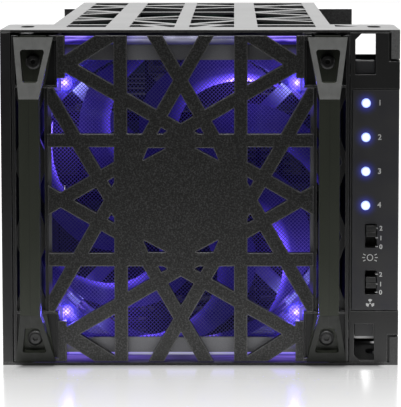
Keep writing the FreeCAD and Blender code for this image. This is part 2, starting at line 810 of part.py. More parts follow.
# Handles: a strap with sloped necks, a window in each neck and a foot under a screw
def handle(dx):
    half = module_half_height
    run = handle_reach - handle_foot_step
    slope = math.hypot(run, handle_slope_height)
    shift_y = handle_neck * handle_slope_height / slope
    shift_z = handle_neck * run / slope
    grade = handle_slope_height / run
    inner_y = -handle_foot_step + shift_y
    inner_z = half - shift_z
    bar_back = -handle_reach + handle_bar_depth
    foot_meet = inner_z - inner_y * grade
    bar_meet = inner_z - (inner_y - bar_back) * grade
    seated = half - module_wall - handle_seat_gap
    upper = [(pad_recess, seated), (0, seated), (0, half), (-handle_foot_step, half),
             (-handle_reach, half - handle_slope_height)]
    inner = [(bar_back, bar_meet), (0, foot_meet), (0, half - handle_base_length),
             (pad_recess, half - handle_base_length)]
    points = upper + [(y, -z) for y, z in reversed(upper)]
    points += [(y, -z) for y, z in reversed(inner)] + inner
    centre = module_centre_x + dx
    left = centre - handle_foot_width / 2
    corners = [FreeCAD.Vector(left, at(y), module_centre_z + z) for y, z in points]
    profile = Part.Face(Part.makePolygon(corners + corners[:1]))
    strap = profile.extrude(FreeCAD.Vector(handle_foot_width, 0, 0))
    wide = handle_foot_width / 2
    slim = handle_bar_width / 2
    knee = half - handle_slope_height
    front = [(-wide, half), (wide, half), (slim, knee), (slim, -knee), (wide, -half), (-wide, -half),
             (-slim, -knee), (-slim, knee)]
    strap = strap.common(prism_y([(centre + x, module_centre_z + z) for x, z in front],
                                 -handle_reach, pad_recess))
    seat_half = half_module - module_wall - handle_seat_gap - abs(dx)
    spare = box(left, left + handle_foot_width, 0, pad_recess, module_bottom, module_top).cut(
        box(centre - seat_half, centre + seat_half, 0, pad_recess, module_bottom, module_top))
    lip = box(centre - handle_lip_width / 2, centre + handle_lip_width / 2, -handle_foot_step, 0,
              module_centre_z + seated, module_centre_z + half + module_lip)
    strap = joined([strap.cut(spare), lip])
    window = [(-window_wide / 2, half - window_top), (window_wide / 2, half - window_top),
              (window_narrow / 2, half - window_top - window_height),
              (-window_narrow / 2, half - window_top - window_height)]
    cuts = []
    for sz in (-1, 1):
        opening = prism_y([(centre + x, module_centre_z + sz * z) for x, z in window], -handle_reach, 0)
        corners = [e for e in opening.Edges if abs(e.BoundBox.YLength - handle_reach) < 1e-6]
        cuts.append(opening.makeFillet(window_round, corners))
        cuts.append(rod(centre, module_centre_z + sz * (half - handle_screw_inset),
                        m3_radius + screw_clearance, 0, pad_recess))
    return without(strap, cuts)


left_handle = handle(-handle_offset_x)
right_handle = handle(handle_offset_x)


def pan_screw(x, z, head_depth, length):
    head = rod(x, z, m3_head_radius, head_depth - m3_head_height, head_depth)
    crown = [e for e in head.Edges if abs(e.BoundBox.YMin - at(head_depth - m3_head_height)) < 1e-6
             and e.BoundBox.XLength > m3_head_radius]
    head = head.makeFillet(m3_head_round, crown)
    recess = rod(x, z, m3_recess_radius, head_depth - m3_head_height,
                 head_depth - m3_head_height + m3_recess_depth)
    return joined([head, rod(x, z, m3_radius - thread_gap, head_depth, head_depth + length)]).cut(recess)


handle_screws = Part.makeCompound([
    pan_screw(module_centre_x + dx, module_centre_z + dz, 0, pad_recess + pad_thickness)
    for dx, dz in screw_seats])

# Dust filter
filter_back = filter_front + filter_depth
half_outer = filter_outer / 2
half_inner = filter_inner / 2
filter_corner = pad_inner_x - filter_side_gap
filter_frame_outline = joined([
    centred(-filter_corner, filter_corner, filter_front, filter_back, -half_outer, half_outer),
    centred(-pocket_wall_x, pocket_wall_x, filter_front, filter_back, -pad_inner_z, pad_inner_z),
])
filter_window = joined([
    centred(-filter_corner + pocket_wall, filter_corner - pocket_wall, filter_front, filter_back,
            -half_inner, half_inner),
    centred(-pocket_wall_x + pocket_wall, pocket_wall_x - pocket_wall, filter_front, filter_back,
            -pad_inner_z + pocket_wall, pad_inner_z - pocket_wall),
])
filter_frame = filter_frame_outline.cut(filter_window)
mesh_back = filter_back + mesh_thickness
dust_mesh = joined([
    centred(-filter_corner, filter_corner, filter_back, mesh_back, -half_outer, half_outer),
    centred(-pocket_wall_x, pocket_wall_x, filter_back, mesh_back, -pad_inner_z, pad_inner_z),
])

# Fan body: two flanges, a ring, four corner posts, and a motor seat on struts
fan_back = fan_front + fan_depth
fan_x = module_centre_x
fan_z = module_centre_z
half_fan = fan_size / 2
half_pitch = fan_hole_pitch / 2
corner_signs = [(sx, sz) for sx in (-1, 1) for sz in (-1, 1)]
fan_corners = [(fan_x + sx * half_pitch, fan_z + sz * half_pitch) for sx, sz in corner_signs]
led_places = [(fan_x + sx * led_offset, fan_z + sz * led_offset) for sx, sz in corner_signs]


def flange_plate(depth0, depth1):
    return rounded_rectangle(fan_x - half_fan, fan_x + half_fan, fan_z - half_fan, fan_z + half_fan,
                             fan_corner_round, depth0, depth1)


fan_solids = [flange_plate(fan_front, fan_front + fan_flange), flange_plate(fan_back - fan_flange, fan_back),
              rod(fan_x, fan_z, fan_bore + fan_ring_wall, fan_front, fan_back)]
for x, z in fan_corners:
    fan_solids.append(rod(x, z, fan_boss_radius, fan_front, fan_back))
fan_cuts = [rod(fan_x, fan_z, fan_bore, fan_front, fan_back)]
for x, z in fan_corners:
    fan_cuts.append(rod(x, z, fan_hole_radius, fan_front, fan_back))
for x, z in led_places:
    fan_cuts.append(rod(x, z, led_radius + led_gap, fan_front, fan_front + led_length))
fan_shell = without(joined(fan_solids), fan_cuts)
seat_front = fan_back - fan_base_thickness
seat_parts = [rod(fan_x, fan_z, fan_base_radius, seat_front, fan_back)]
for n in range(fan_struts):
    turn = 45 + 360 / fan_struts * n
    strut = box(fan_x, fan_x + fan_bore + fan_ring_wall / 2, seat_front, fan_back,
                fan_z - fan_strut_width / 2, fan_z + fan_strut_width / 2)
    strut.rotate(FreeCAD.Vector(fan_x, 0, fan_z), FreeCAD.Vector(0, 1, 0), turn)
    seat_parts.append(strut)
bearing_outer = shaft_radius + shaft_running_gap + bearing_wall
bearing_front = seat_front - bearing_length
seat_parts.append(rod(fan_x, fan_z, bearing_tube_radius, bearing_front, seat_front))
bearing_seat = rod(fan_x, fan_z, bearing_outer, bearing_front, seat_front)
fan_housing = joined([fan_shell] + seat_parts).cut(bearing_seat)
fan_bearing = tube(fan_x, fan_z, bearing_outer, shaft_radius + shaft_running_gap, bearing_front, seat_front)
stator_back = seat_front - stator_gap
stator_core = tube(fan_x, fan_z, stator_radius, bearing_tube_radius, stator_back - stator_height, stator_back)
notches = []
for n in range(fan_struts):
    notch = box(fan_x + stator_core_radius, fan_x + stator_radius, stator_back - stator_height, stator_back,
                fan_z - stator_notch / 2, fan_z + stator_notch / 2)
    notch.rotate(FreeCAD.Vector(fan_x, 0, fan_z), FreeCAD.Vector(0, 1, 0), 360 / fan_struts * n)
    notches.append(notch)
fan_stator = without(stator_core, notches)
corner_lights = Part.makeCompound([rod(x, z, led_radius, fan_front, fan_front + led_length)
                                   for x, z in led_places])

# Rotor
hub_front = fan_front + hub_front_gap
hub_back = hub_front + hub_depth
hub = rod(fan_x, fan_z, hub_radius, hub_front, hub_back).cut(
    rod(fan_x, fan_z, hub_radius - hub_wall, hub_front + hub_cap, hub_back))
rotor_shaft = rod(fan_x, fan_z, shaft_radius, hub_front + hub_cap, seat_front - shaft_end_gap)
rotor_magnet = tube(fan_x, fan_z, hub_radius - hub_wall, hub_radius - hub_wall - magnet_wall,
                    hub_front + hub_cap + magnet_front_gap, hub_back)


def blade():
    slab = Part.makeBox(blade_tip, blade_chord, blade_thickness,
                        FreeCAD.Vector(fan_x, at(hub_front + hub_depth / 2) - blade_chord / 2,
                                       fan_z - blade_thickness / 2))
    middle = FreeCAD.Vector(fan_x, at(hub_front + hub_depth / 2), fan_z)
    slab.rotate(middle, FreeCAD.Vector(1, 0, 0), blade_pitch)
    room = tube(fan_x, fan_z, blade_tip, hub_radius - hub_wall / 2, hub_front + blade_inset,
                hub_back - blade_inset)
    return slab.common(room)


blades = []
for n in range(blade_count):
    one = blade()
    one.rotate(FreeCAD.Vector(fan_x, 0, fan_z), FreeCAD.Vector(0, 1, 0), 360 / blade_count * n)
    blades.append(one)
bore_space = rod(fan_x, fan_z, hub_radius - hub_wall, hub_front + hub_cap, hub_back)
fan_rotor = hub.multiFuse(blades).cut(bore_space)

fan_screws = Part.makeCompound([
    joined([rod(x, z, fan_hole_radius - thread_gap, fan_front + fan_flange, fan_back),
            rod(x, z, fan_screw_head_radius, fan_back, fan_back + fan_screw_head_height)])
    for x, z in fan_corners])

# Power contacts: pads on the back of the fan, and their mate on the cage
module_contacts = box(fan_x + half_fan - contact_overlap, module_right - module_wall, fan_back,
                      pads_back, fan_z - contact_length / 2, fan_z + contact_length / 2)
cage_contacts = box(cage_right + latch_gap, module_right - module_wall, pads_back + latch_gap,
                    front_box_depth, fan_z - contact_length / 2, fan_z + contact_length / 2)

# Drive bays
inner_left = cage_left + sheet
inner_right = cage_right - sheet
tray_left = inner_left + tray_gap
tray_right = inner_right - tray_gap


def runner_row(left):
    rails = []
    for n in range(bay_count):
        low = shell_low + n * bay_pitch
        rails.append(box(left, left + runner_width, runner_start, runner_end, low, low + runner_thickness))
    return Part.makeCompound(rails)


left_runners = runner_row(inner_left)
right_runners = runner_row(inner_right - runner_width)


def tray_low(n):
    return shell_low + n * bay_pitch + runner_thickness + runner_gap


def drive_tray(n):
    low = tray_low(n)
    floor = box(tray_left, tray_right, face_back, runner_end, low, low + tray_floor)
    web = tray_web
    row = (runner_end - face_back - web) / tray_window_rows
    column = (tray_right - tray_left - 2 * runner_width - web) / tray_window_columns
    cuts = []
    for k in range(tray_window_rows):
        for m in range(tray_window_columns):
            start = face_back + web + k * row
            left = tray_left + runner_width + web + m * column
            cuts.append(box(left, left + column - web, start, start + row - web, low, low + tray_floor))
    sides = [box(tray_left, tray_left + tray_side, face_back, runner_end, low, low + tray_side_height),
             box(tray_right - tray_side, tray_right, face_back, runner_end, low, low + tray_side_height)]
    hole_z = low + tray_floor + drive_hole_height
    for inset in drive_hole_insets:
        cuts.append(Part.makeCylinder(drive_hole_radius, tray_right - tray_left,
                                      FreeCAD.Vector(tray_left, at(drive_end - inset), hole_z),
                                      FreeCAD.Vector(1, 0, 0)))
    return without(joined([without(floor, cuts)] + sides), cuts)


def tray_front_panel(n):
    low = tray_low(n)
    panel_plate = box(tray_left, tray_right, tray_front, face_back, low, low + tray_face_height)
    middle_x = (tray_left + tray_right) / 2
    middle_z = low + tray_face_height / 2
    cuts = [rounded_rectangle(middle_x - grip_width / 2, middle_x + grip_width / 2,
                              middle_z - grip_height / 2, middle_z + grip_height / 2, grip_round,
                              tray_front, face_back)]
    room = (tray_right - tray_left - grip_width) / 2
    step = room / vent_columns
    slot = step - vent_bar
    for side in (-1, 1):
        for k in range(vent_columns):
            x = middle_x + side * (grip_width / 2 + step * (k + 0.5))
            cuts.append(box(x - slot / 2, x + slot / 2, tray_front, face_back, low + vent_margin,
                            low + tray_face_height - vent_margin))
    return without(panel_plate, cuts)


# Backplane: board, drive sockets, and the plate that carries it
board_low = shell_low + backplane_inset
board_high = shell_high - backplane_inset
board_left = inner_left + backplane_inset
board_right = inner_right - backplane_inset
backplane_board = box(board_left, board_right, backplane_front, board_back, board_low, board_high)


def socket(n):
    low = tray_low(n) + tray_floor + socket_rise
    block = box(cage_centre_x - socket_width / 2, cage_centre_x + socket_width / 2,
                backplane_front - socket_depth, backplane_front, low, low + socket_height)
    mouth_half = socket_width / 2 - socket_wall
    mouth = box(cage_centre_x - mouth_half, cage_centre_x + mouth_half, backplane_front - socket_depth,
                backplane_front - socket_floor, low + socket_wall, low + socket_height - socket_wall)
    return block.cut(mouth)


drive_sockets = Part.makeCompound([socket(n) for n in range(bay_count)])
data_x = cage_centre_x + connector_offset
power_x = cage_centre_x - connector_offset
data_heights = [tray_low(n) + bay_pitch / 2 for n in range(bay_count)]
power_heights = [shell_low + bay_pitch, shell_high - bay_pitch]


def rear_connector(x, z, width, height, depth):
    block = box(x - width / 2, x + width / 2, board_back, board_back + depth, z - height / 2, z + height / 2)
    mouth = box(x - width / 2 + connector_wall, x + width / 2 - connector_wall, board_back + depth / 2,
                board_back + depth, z - height / 2 + connector_wall, z + height / 2 - connector_wall)
    tongue = box(x - width / 2 + 2 * connector_wall, x + width / 2 - 2 * connector_wall,
                 board_back + depth / 2, board_back + depth - connector_wall,
                 z - tongue_thickness / 2, z + tongue_thickness / 2)
    return joined([block.cut(mouth), tongue])


data_connectors = Part.makeCompound([rear_connector(data_x, z, data_width, data_height, data_depth)
                                     for z in data_heights])
power_connectors = Part.makeCompound([rear_connector(power_x, z, power_width, power_height, power_depth)
                                      for z in power_heights])
plate_cuts = []
plugs = [(data_x, z, data_width, data_height) for z in data_heights]
plugs += [(power_x, z, power_width, power_height) for z in power_heights]
for x, z, width, height in plugs:
    plate_cuts.append(box(x - width / 2 - panel_gap, x + width / 2 + panel_gap, plate_front, plate_back,
                          z - height / 2 - panel_gap, z + height / 2 + panel_gap))
standoff_inset = standoff_radius + backplane_inset
standoff_places = [(x, z) for x in (board_left + standoff_inset, board_right - standoff_inset)
                   for z in (board_low + standoff_inset, board_high - standoff_inset)]
for x, z in standoff_places:
    plate_cuts.append(rod(x, z, m3_radius, plate_front, plate_back))
for z in [shell_low + bay_pitch * (k + 0.5) for k in range(bay_count)]:
    plate_cuts.append(box(cage_centre_x - plate_vent_width / 2, cage_centre_x + plate_vent_width / 2,
                          plate_front, plate_back, z - plate_vent_height / 2, z + plate_vent_height / 2))
backplane_plate = without(box(plate_left, plate_right, plate_front, plate_back, shell_low, shell_high),
                          plate_cuts)
for x, z in standoff_places:
    backplane_board = backplane_board.cut(rod(x, z, m3_radius, backplane_front, board_back))
board_standoffs = Part.makeCompound([tube(x, z, standoff_radius, m3_radius, board_back, plate_front)
                                     for x, z in standoff_places])
board_screws = Part.makeCompound([
    joined([rod(x, z, m3_head_radius, plate_back, plate_back + m3_head_height),
            rod(x, z, m3_radius - thread_gap, backplane_front, plate_back)]) for x, z in standoff_places])
cowl_inner = box(cage_left + cowl_wall, cage_right - cowl_wall, plate_back, body_depth,
                 shell_low + cowl_wall, shell_high - cowl_wall)
cowl_rows = [shell_low + cowl_wall + web_bar, (shell_low + shell_high) / 2, shell_high - cowl_wall - web_bar]
cowl_windows = []
for row in range(2):
    cowl_windows += cell_windows(plate_back + web_bar, body_depth - web_bar,
                                 cowl_rows[row], cowl_rows[row + 1])
cowl_cuts = [cowl_inner]
for points in cowl_windows:
    corners_yz = [FreeCAD.Vector(cage_left, at(y), z) for y, z in points]
    window_face = Part.Face(Part.makePolygon(corners_yz + corners_yz[:1]))
    cowl_cuts.append(window_face.extrude(FreeCAD.Vector(cage_width, 0, 0)))
rear_cowl = without(box(cage_left, cage_right, plate_back, body_depth, shell_low, shell_high), cowl_cuts)

# Side brackets with the standard bay screw holes
bracket_start = front_box_depth + sheet


def bracket(side, wall_x):
    outer = side * bay_width / 2
    inner = outer - side * bracket_sheet
    plate = box(min(outer, inner), max(outer, inner), bracket_start, bracket_end, bracket_bottom, bracket_top)
    pieces = [plate]
    for low, lip_low in ((bracket_bottom, bracket_bottom),
                         (bracket_top - bracket_sheet, bracket_top - bracket_lip)):
        pieces.append(box(min(outer, wall_x), max(outer, wall_x), bracket_start, bracket_end,
                          low, low + bracket_sheet))
        seat = wall_x + side * bracket_sheet
        pieces.append(box(min(seat, wall_x), max(seat, wall_x), bracket_start, bracket_end,
                          lip_low, lip_low + bracket_lip))
    cuts = []
    for depth in (mount_first, mount_first + mount_pitch):
        for z in (mount_row_low, mount_row_low + mount_row_spacing):
            cuts.append(Part.makeCylinder(m3_radius, 3 * bracket_sheet,
                                          FreeCAD.Vector(outer - side * 2 * bracket_sheet, at(depth), z),
                                          FreeCAD.Vector(side, 0, 0)))
    web_low = mount_row_low + web_bar
    web_high = mount_row_low + mount_row_spacing - web_bar
    step = (bracket_end - bracket_start - 2 * web_rim) / bracket_cells
    rise = (web_high - web_low) / 2
    cells = [(bracket_start + web_rim + k * step, web_low + m * rise) for k in range(bracket_cells)
             for m in range(2)]
    for start, low in cells:
        for points in cell_windows(start, start + step, low, low + rise):
            corners_yz = [FreeCAD.Vector(outer - side * 2 * bracket_sheet, at(y), z) for y, z in points]
            window_face = Part.Face(Part.makePolygon(corners_yz + corners_yz[:1]))
            cuts.append(window_face.extrude(FreeCAD.Vector(side * 3 * bracket_sheet, 0, 0)))
    return without(joined(pieces), cuts)


left_bracket = bracket(-1, cage_left)
right_bracket = bracket(1, cage_right)

# Control lead, from the control board to a plug on the backplane plate
def bent_path(route):
    points = [FreeCAD.Vector(x, at(y), z) for x, y, z in route]
    edges = []
    start = points[0]
    for k in range(1, len(points) - 1):
        before = (points[k - 1] - points[k])
        after = (points[k + 1] - points[k])
        short = min(before.Length, after.Length)
        turn = math.pi - before.getAngle(after)
        radius = arc_share * short / math.tan(turn / 2)
        print("lead radius", round(radius, 1))
        entry = points[k] + before.normalize() * (arc_share * short)
        leave = points[k] + after.normalize() * (arc_share * short)
        inward = (before + after).normalize()
        centre = points[k] + inward * (radius / math.cos(turn / 2))
        crest = centre - inward * radius
        edges.append(Part.LineSegment(start, entry).toShape())
        edges.append(Part.Arc(entry, crest, leave).toShape())
        start = leave
    edges.append(Part.LineSegment(start, points[-1]).toShape())
    return Part.Wire(edges)


lead_path = bent_path(lead_route)
lead_start = FreeCAD.Vector(lead_route[0][0], at(lead_route[0][1]), lead_route[0][2])
lead_heading = FreeCAD.Vector(*[lead_route[1][k] - lead_route[0][k] for k in range(3)])
lead_section = Part.Wire(Part.makeCircle(lead_radius, lead_start, lead_heading))
control_lead = lead_path.makePipeShell([lead_section], True, True)
print("lead volume", round(control_lead.Volume, 1), "section times length",
      round(math.pi * lead_radius ** 2 * lead_path.Length, 1))
plug_x = lead_route[-1][0]
plug_z = lead_route[-1][2]
lead_plug = box(plug_x - plug_width / 2, plug_x + plug_width / 2, plate_front - plug_depth, plate_front,
                plug_z - plug_height / 2, plug_z + plug_height / 2)

pieces = {
    "top_cover": top_cover,
    "bottom_cover": bottom_cover,
    "left_side_wall": left_side_wall,
    "right_side_wall": right_side_wall,
    "left_stile": left_stile,
    "right_surround": right_surround,
    "control_panel": control_panel,
    "control_board": control_board,
    "control_board_screws": control_board_screws,
    "status_lights": status_lights,
    "light_switch_body": switch_body(light_switch_z),
    "fan_switch_body": switch_body(fan_switch_z),
    "light_switch_knob": light_switch_knob,
    "fan_switch_knob": fan_switch_knob,
    "upper_latch": upper_latch,
    "lower_latch": lower_latch,
    "module_frame": module_frame,
    "fan_grille": fan_grille,
    "left_handle": left_handle,
    "right_handle": right_handle,
    "handle_screws": handle_screws,
    "filter_frame": filter_frame,
    "dust_mesh": dust_mesh,
    "fan_housing": fan_housing,
    "fan_bearing": fan_bearing,
    "fan_stator": fan_stator,
    "fan_screws": fan_screws,
    "corner_lights": corner_lights,
    "module_contacts": module_contacts,
    "fan_rotor": fan_rotor,
    "rotor_shaft": rotor_shaft,
    "rotor_magnet": rotor_magnet,
    "cage_contacts": cage_contacts,
    "left_runners": left_runners,
    "right_runners": right_runners,
    "backplane_board": backplane_board,
    "drive_sockets": drive_sockets,
    "data_connectors": data_connectors,
    "power_connectors": power_connectors,
    "backplane_plate": backplane_plate,
    "board_standoffs": board_standoffs,
    "board_screws": board_screws,
    "rear_cowl": rear_cowl,
    "left_bracket": left_bracket,
    "right_bracket": right_bracket,
    "control_lead": control_lead,
    "lead_plug": lead_plug,
}
for n in range(bay_count):
    pieces["drive_tray_" + str(n + 1)] = drive_tray(n)
    pieces["tray_face_" + str(n + 1)] = tray_front_panel(n)
for name, shape in pieces.items():
    save(name, shape)
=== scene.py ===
import math

import bmesh
import bpy
from mathutils import Matrix, Vector


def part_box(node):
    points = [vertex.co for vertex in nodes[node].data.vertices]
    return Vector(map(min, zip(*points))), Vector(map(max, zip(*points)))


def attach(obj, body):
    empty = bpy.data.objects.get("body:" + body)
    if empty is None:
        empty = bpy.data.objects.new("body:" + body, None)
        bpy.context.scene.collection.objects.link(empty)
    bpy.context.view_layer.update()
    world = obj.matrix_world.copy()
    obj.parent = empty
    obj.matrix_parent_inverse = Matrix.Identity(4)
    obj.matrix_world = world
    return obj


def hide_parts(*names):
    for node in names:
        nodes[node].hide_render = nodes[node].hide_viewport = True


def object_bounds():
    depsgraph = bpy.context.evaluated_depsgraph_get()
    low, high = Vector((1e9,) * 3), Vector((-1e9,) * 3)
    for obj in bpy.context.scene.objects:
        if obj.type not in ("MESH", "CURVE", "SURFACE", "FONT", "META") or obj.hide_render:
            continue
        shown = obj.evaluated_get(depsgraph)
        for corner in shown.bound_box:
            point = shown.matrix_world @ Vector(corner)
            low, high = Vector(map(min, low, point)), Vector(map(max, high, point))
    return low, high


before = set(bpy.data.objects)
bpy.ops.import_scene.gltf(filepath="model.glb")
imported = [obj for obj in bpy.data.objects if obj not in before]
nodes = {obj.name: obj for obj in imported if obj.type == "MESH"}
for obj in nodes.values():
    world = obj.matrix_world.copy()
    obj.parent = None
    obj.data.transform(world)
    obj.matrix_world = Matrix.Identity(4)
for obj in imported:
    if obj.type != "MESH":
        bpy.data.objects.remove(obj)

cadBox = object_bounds()
mm = 0.001
print("frame loaded:", len(nodes), "nodes")


# A socket that is used like a number: each sum adds its Math node
class Signal:
    def __init__(self, recipe, socket):
        self.recipe = recipe
        self.socket = socket

    def sum(self, operation, first, second):
        return self.recipe.sum(operation, first, second)

    def __add__(self, other):
        return self.sum("ADD", self, other)

    def __radd__(self, other):
        return self.sum("ADD", other, self)

    def __sub__(self, other):
        return self.sum("SUBTRACT", self, other)

    def __rsub__(self, other):
        return self.sum("SUBTRACT", other, self)

    def __mul__(self, other):
        return self.sum("MULTIPLY", self, other)

    def __rmul__(self, other):
        return self.sum("MULTIPLY", other, self)

    def __truediv__(self, other):
        return self.sum("DIVIDE", self, other)

    def __rtruediv__(self, other):
        return self.sum("DIVIDE", other, self)

    def __pow__(self, other):
        return self.sum("POWER", self, other)

    def __rpow__(self, other):
        return self.sum("POWER", other, self)

    def __abs__(self):
        return self.recipe.add("Math", {"operation": "ABSOLUTE"}, {0: self})

    def __lt__(self, other):
        return self.sum("LESS_THAN", self, other)

    def __gt__(self, other):
        return self.sum("GREATER_THAN", self, other)


# A node tree in the making. add takes a node's type, its settings, then its sockets' values or links
class Recipe:
    def __init__(self, owner):
        owner.use_nodes = True
        self.owner = owner
        self.tree = owner.node_tree
        self.tree.nodes.clear()

    def add(self, kind, settings=None, sockets=None, output=0):
        made = self.tree.nodes.new("ShaderNode" + kind)
        for name, value in (settings or {}).items():
            setattr(made, name, value)
        for name, value in (sockets or {}).items():
            if isinstance(value, Signal):
                self.tree.links.new(value.socket, made.inputs[name])
            else:
                made.inputs[name].default_value = value
        return Signal(self, made.outputs[output]) if len(made.outputs) else None

    def sum(self, operation, first, second):
        return self.add("Math", {"operation": operation}, {0: first, 1: second})

    def scaled(self, vector, amount):
        return self.add("VectorMath", {"operation": "SCALE"}, {0: vector, "Scale": amount})

    def stretched(self, vector, factors):
        return self.add("VectorMath", {"operation": "MULTIPLY"}, {0: vector, 1: factors})

    def place(self):  # where a point is, in millimetres
        return self.scaled(self.add("TexCoord", output="Object"), 1 / mm)

    def facing(self):  # the way that a face looks
        return self.add("NewGeometry", output="Normal")

    def axes(self, vector):
        outputs = self.add("SeparateXYZ", {}, {0: vector}).socket.node.outputs
        return [Signal(self, outputs[k]) for k in range(3)]

    def grain(self, spot, scale, detail=2.0, roughness=0.5):
        return self.add("TexNoise", {}, {"Vector": spot, "Scale": scale, "Detail": detail,
                                         "Roughness": roughness})

    def mapped(self, value, low, high, newLow=0.0, newHigh=1.0):
        return self.add("MapRange", {}, {"Value": value, "From Min": low, "From Max": high,
                                         "To Min": newLow, "To Max": newHigh})

    def spread(self, noise):  # a noise keeps to its middle, which is drawn out here to 0 to 1
        return self.mapped(noise, 0.3, 0.7)

    def facets(self, spot, scale):  # flat patches, each with a grey of its own
        cells = self.add("TexVoronoi", {"feature": "F1"}, {"Vector": spot, "Scale": scale}, "Color")
        return self.add("RGBToBW", {}, {0: cells})

    def fall(self, away, reach):  # 1 at a lamp, and about a third of it after each reach
        return 2.718 ** (away * (-1 / reach))

    def mixed(self, factor, first, second):
        return self.add("Mix", {"data_type": "RGBA"}, {0: factor, 6: first, 7: second}, 2)

    def rounded(self, radius):  # the normal of an edge with its corner taken off
        return self.add("Bevel", {"samples": 4}, {"Radius": radius * mm})

    def edge(self, roundedNormal):  # 0 on flats, up to 1 on corners
        vectors = {0: roundedNormal, 1: self.facing()}
        along = self.add("VectorMath", {"operation": "DOT_PRODUCT"}, vectors, "Value")
        return self.mapped(along, 1.0, 0.8)

    def bump(self, height, distance, normal=None, strength=1.0):
        sockets = {"Height": height, "Distance": distance * mm, "Strength": strength}
        if normal:
            sockets["Normal"] = normal
        return self.add("Bump", {}, sockets)

    def finish(self, sockets):
        shader = self.add("BsdfPrincipled", {}, sockets)
        self.add("OutputMaterial", {}, {"Surface": shader})
        return self.owner


def begin(name):  # a new material's tree, and the place of each point on it
    look = Recipe(bpy.data.materials.new(name))
    return look, look.place()


# A grey or a colour as it is read off a screen, 0 to 255, turned into the values that a shader takes
def tone(shade):
    values = shade if isinstance(shade, tuple) else (shade, shade, shade)
    shares = [v / 255 for v in values]
    return tuple(((v + 0.055) / 1.055) ** 2.4 if v > 0.04 else v / 12.92 for v in shares) + (1.0,)


def dress(names, material):
    for name in names:
        nodes[name].data.materials.clear()
        nodes[name].data.materials.append(material)


def piece(name, mesh, body, material, smooth=False):
    made = bpy.data.objects.new(name, mesh)
    bpy.context.scene.collection.objects.link(made)
    mesh.materials.append(material)
    if smooth:
        for face in mesh.polygons:
            face.use_smooth = True
    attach(made, body)
    return made


def meshFrom(name, build):
    mesh = bpy.data.meshes.new(name)
    sheet = bmesh.new()
    build(sheet)
    bmesh.ops.recalc_face_normals(sheet, faces=sheet.faces)
    sheet.to_mesh(mesh)
    sheet.free()
    return mesh


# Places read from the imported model
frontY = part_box("control_panel")[0].y
housingLow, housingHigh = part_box("fan_housing")
fanCentre = (housingLow + housingHigh) / 2


def at(depth):
    return frontY + depth * mm


# Camera, from the drawing of the front and the point where its depth lines meet
view = {"x": 12.82, "y": -1020.0, "z": 176.2, "tilt": 6.11, "turn": 0.073, "lens": 217.4, "sensor": 36.0,
        "shiftX": -0.0757, "shiftY": -0.11, "nearest": 0.05, "farthest": 30.0}
lensData = bpy.data.cameras.new("viewCamera")
lensData.lens = view["lens"]
lensData.sensor_width = view["sensor"]
lensData.shift_x = view["shiftX"]
lensData.shift_y = view["shiftY"]
lensData.clip_start = view["nearest"]
lensData.clip_end = view["farthest"]
camera = bpy.data.objects.new("viewCamera", lensData)
camera.location = (view["x"] * mm, view["y"] * mm, view["z"] * mm)
camera.rotation_euler = (math.radians(90 - view["tilt"]), 0.0, math.radians(view["turn"]))
bpy.context.scene.collection.objects.link(camera)
bpy.context.scene.camera = camera
bpy.context.scene.view_settings.view_transform = "Standard"
print("camera placed")

# Light: a room that is white behind and above and dim in front, a wide soft lamp and a small one
room = {"back": 1.4, "front": 0.05, "ambient": 0.26, "slope": 0.6, "dimEnd": -0.55, "brightEnd": 0.05}
white = (1, 1, 1, 1)


def buildWorld():
    world = bpy.data.worlds.new("room")
    bpy.context.scene.world = world
    sky = Recipe(world)
    rays = sky.add("LightPath").socket.node.outputs
    isCamera = Signal(sky, rays["Is Camera Ray"])
    isGlossy = Signal(sky, rays["Is Glossy Ray"])
    isThrough = Signal(sky, rays["Is Transmission Ray"])
    y, z = sky.axes(sky.add("TexCoord", output="Generated"))[1:]
    backward = y + z * room["slope"]
    behind = sky.mapped(backward, room["dimEnd"], room["brightEnd"], room["front"], room["back"])
    mirrored = sky.add("Background", {}, {"Color": white, "Strength": behind})
    soft = sky.add("Background", {}, {"Color": white, "Strength": behind * room["ambient"]})
    plain = sky.add("Background", {}, {"Color": white, "Strength": 1.0})
    lit = sky.add("MixShader", {}, {0: isGlossy, 1: soft, 2: mirrored})
    seen = sky.add("MixShader", {}, {0: isCamera + isThrough, 1: lit, 2: plain})
    sky.add("OutputWorld", {}, {"Surface": seen})


softbox = {"at": (0.0, -0.35, 1.1), "aim": (0, 0, 0.06), "width": 0.9, "height": 0.7, "power": 13.0}
keyLamp = {"at": (-0.5, -1.1, 0.7), "aim": (0, frontY, 0.06), "width": 0.5, "height": 0.5, "power": 0.5}


def areaLamp(name, lamp):
    lampData = bpy.data.lights.new(name, "AREA")
    lampData.shape = "RECTANGLE"
    lampData.size = lamp["width"]
    lampData.size_y = lamp["height"]
    lampData.energy = lamp["power"]
    holder = bpy.data.objects.new(name, lampData)
    holder.location = lamp["at"]
    holder.rotation_euler = (Vector(lamp["aim"]) - Vector(lamp["at"])).to_track_quat("-Z", "Y").to_euler()
    bpy.context.scene.collection.objects.link(holder)


buildWorld()
areaLamp("softbox", softbox)
areaLamp("keyLamp", keyLamp)

# Floor: white, with the object's shadow and a faint mirror image that fades towards the viewer.
# Under its base a painted shadow takes the floor's glow away
floorLook = {"halfSide": 3.0, "drop": 0.1, "ghostNear": 0.52, "ghostFar": 0.27, "ghostLength": 80.0,
             "ghostBlur": 0.16, "shadowShare": 0.3, "whiteness": 1.25, "glowReach": 160.0, "glow": 2.6,
             "edgeFade": 12.0, "sideFade": 4.0, "paint": (0.86, 0.86, 0.86, 1), "dim": (0.1, 0.1, 0.1, 1)}


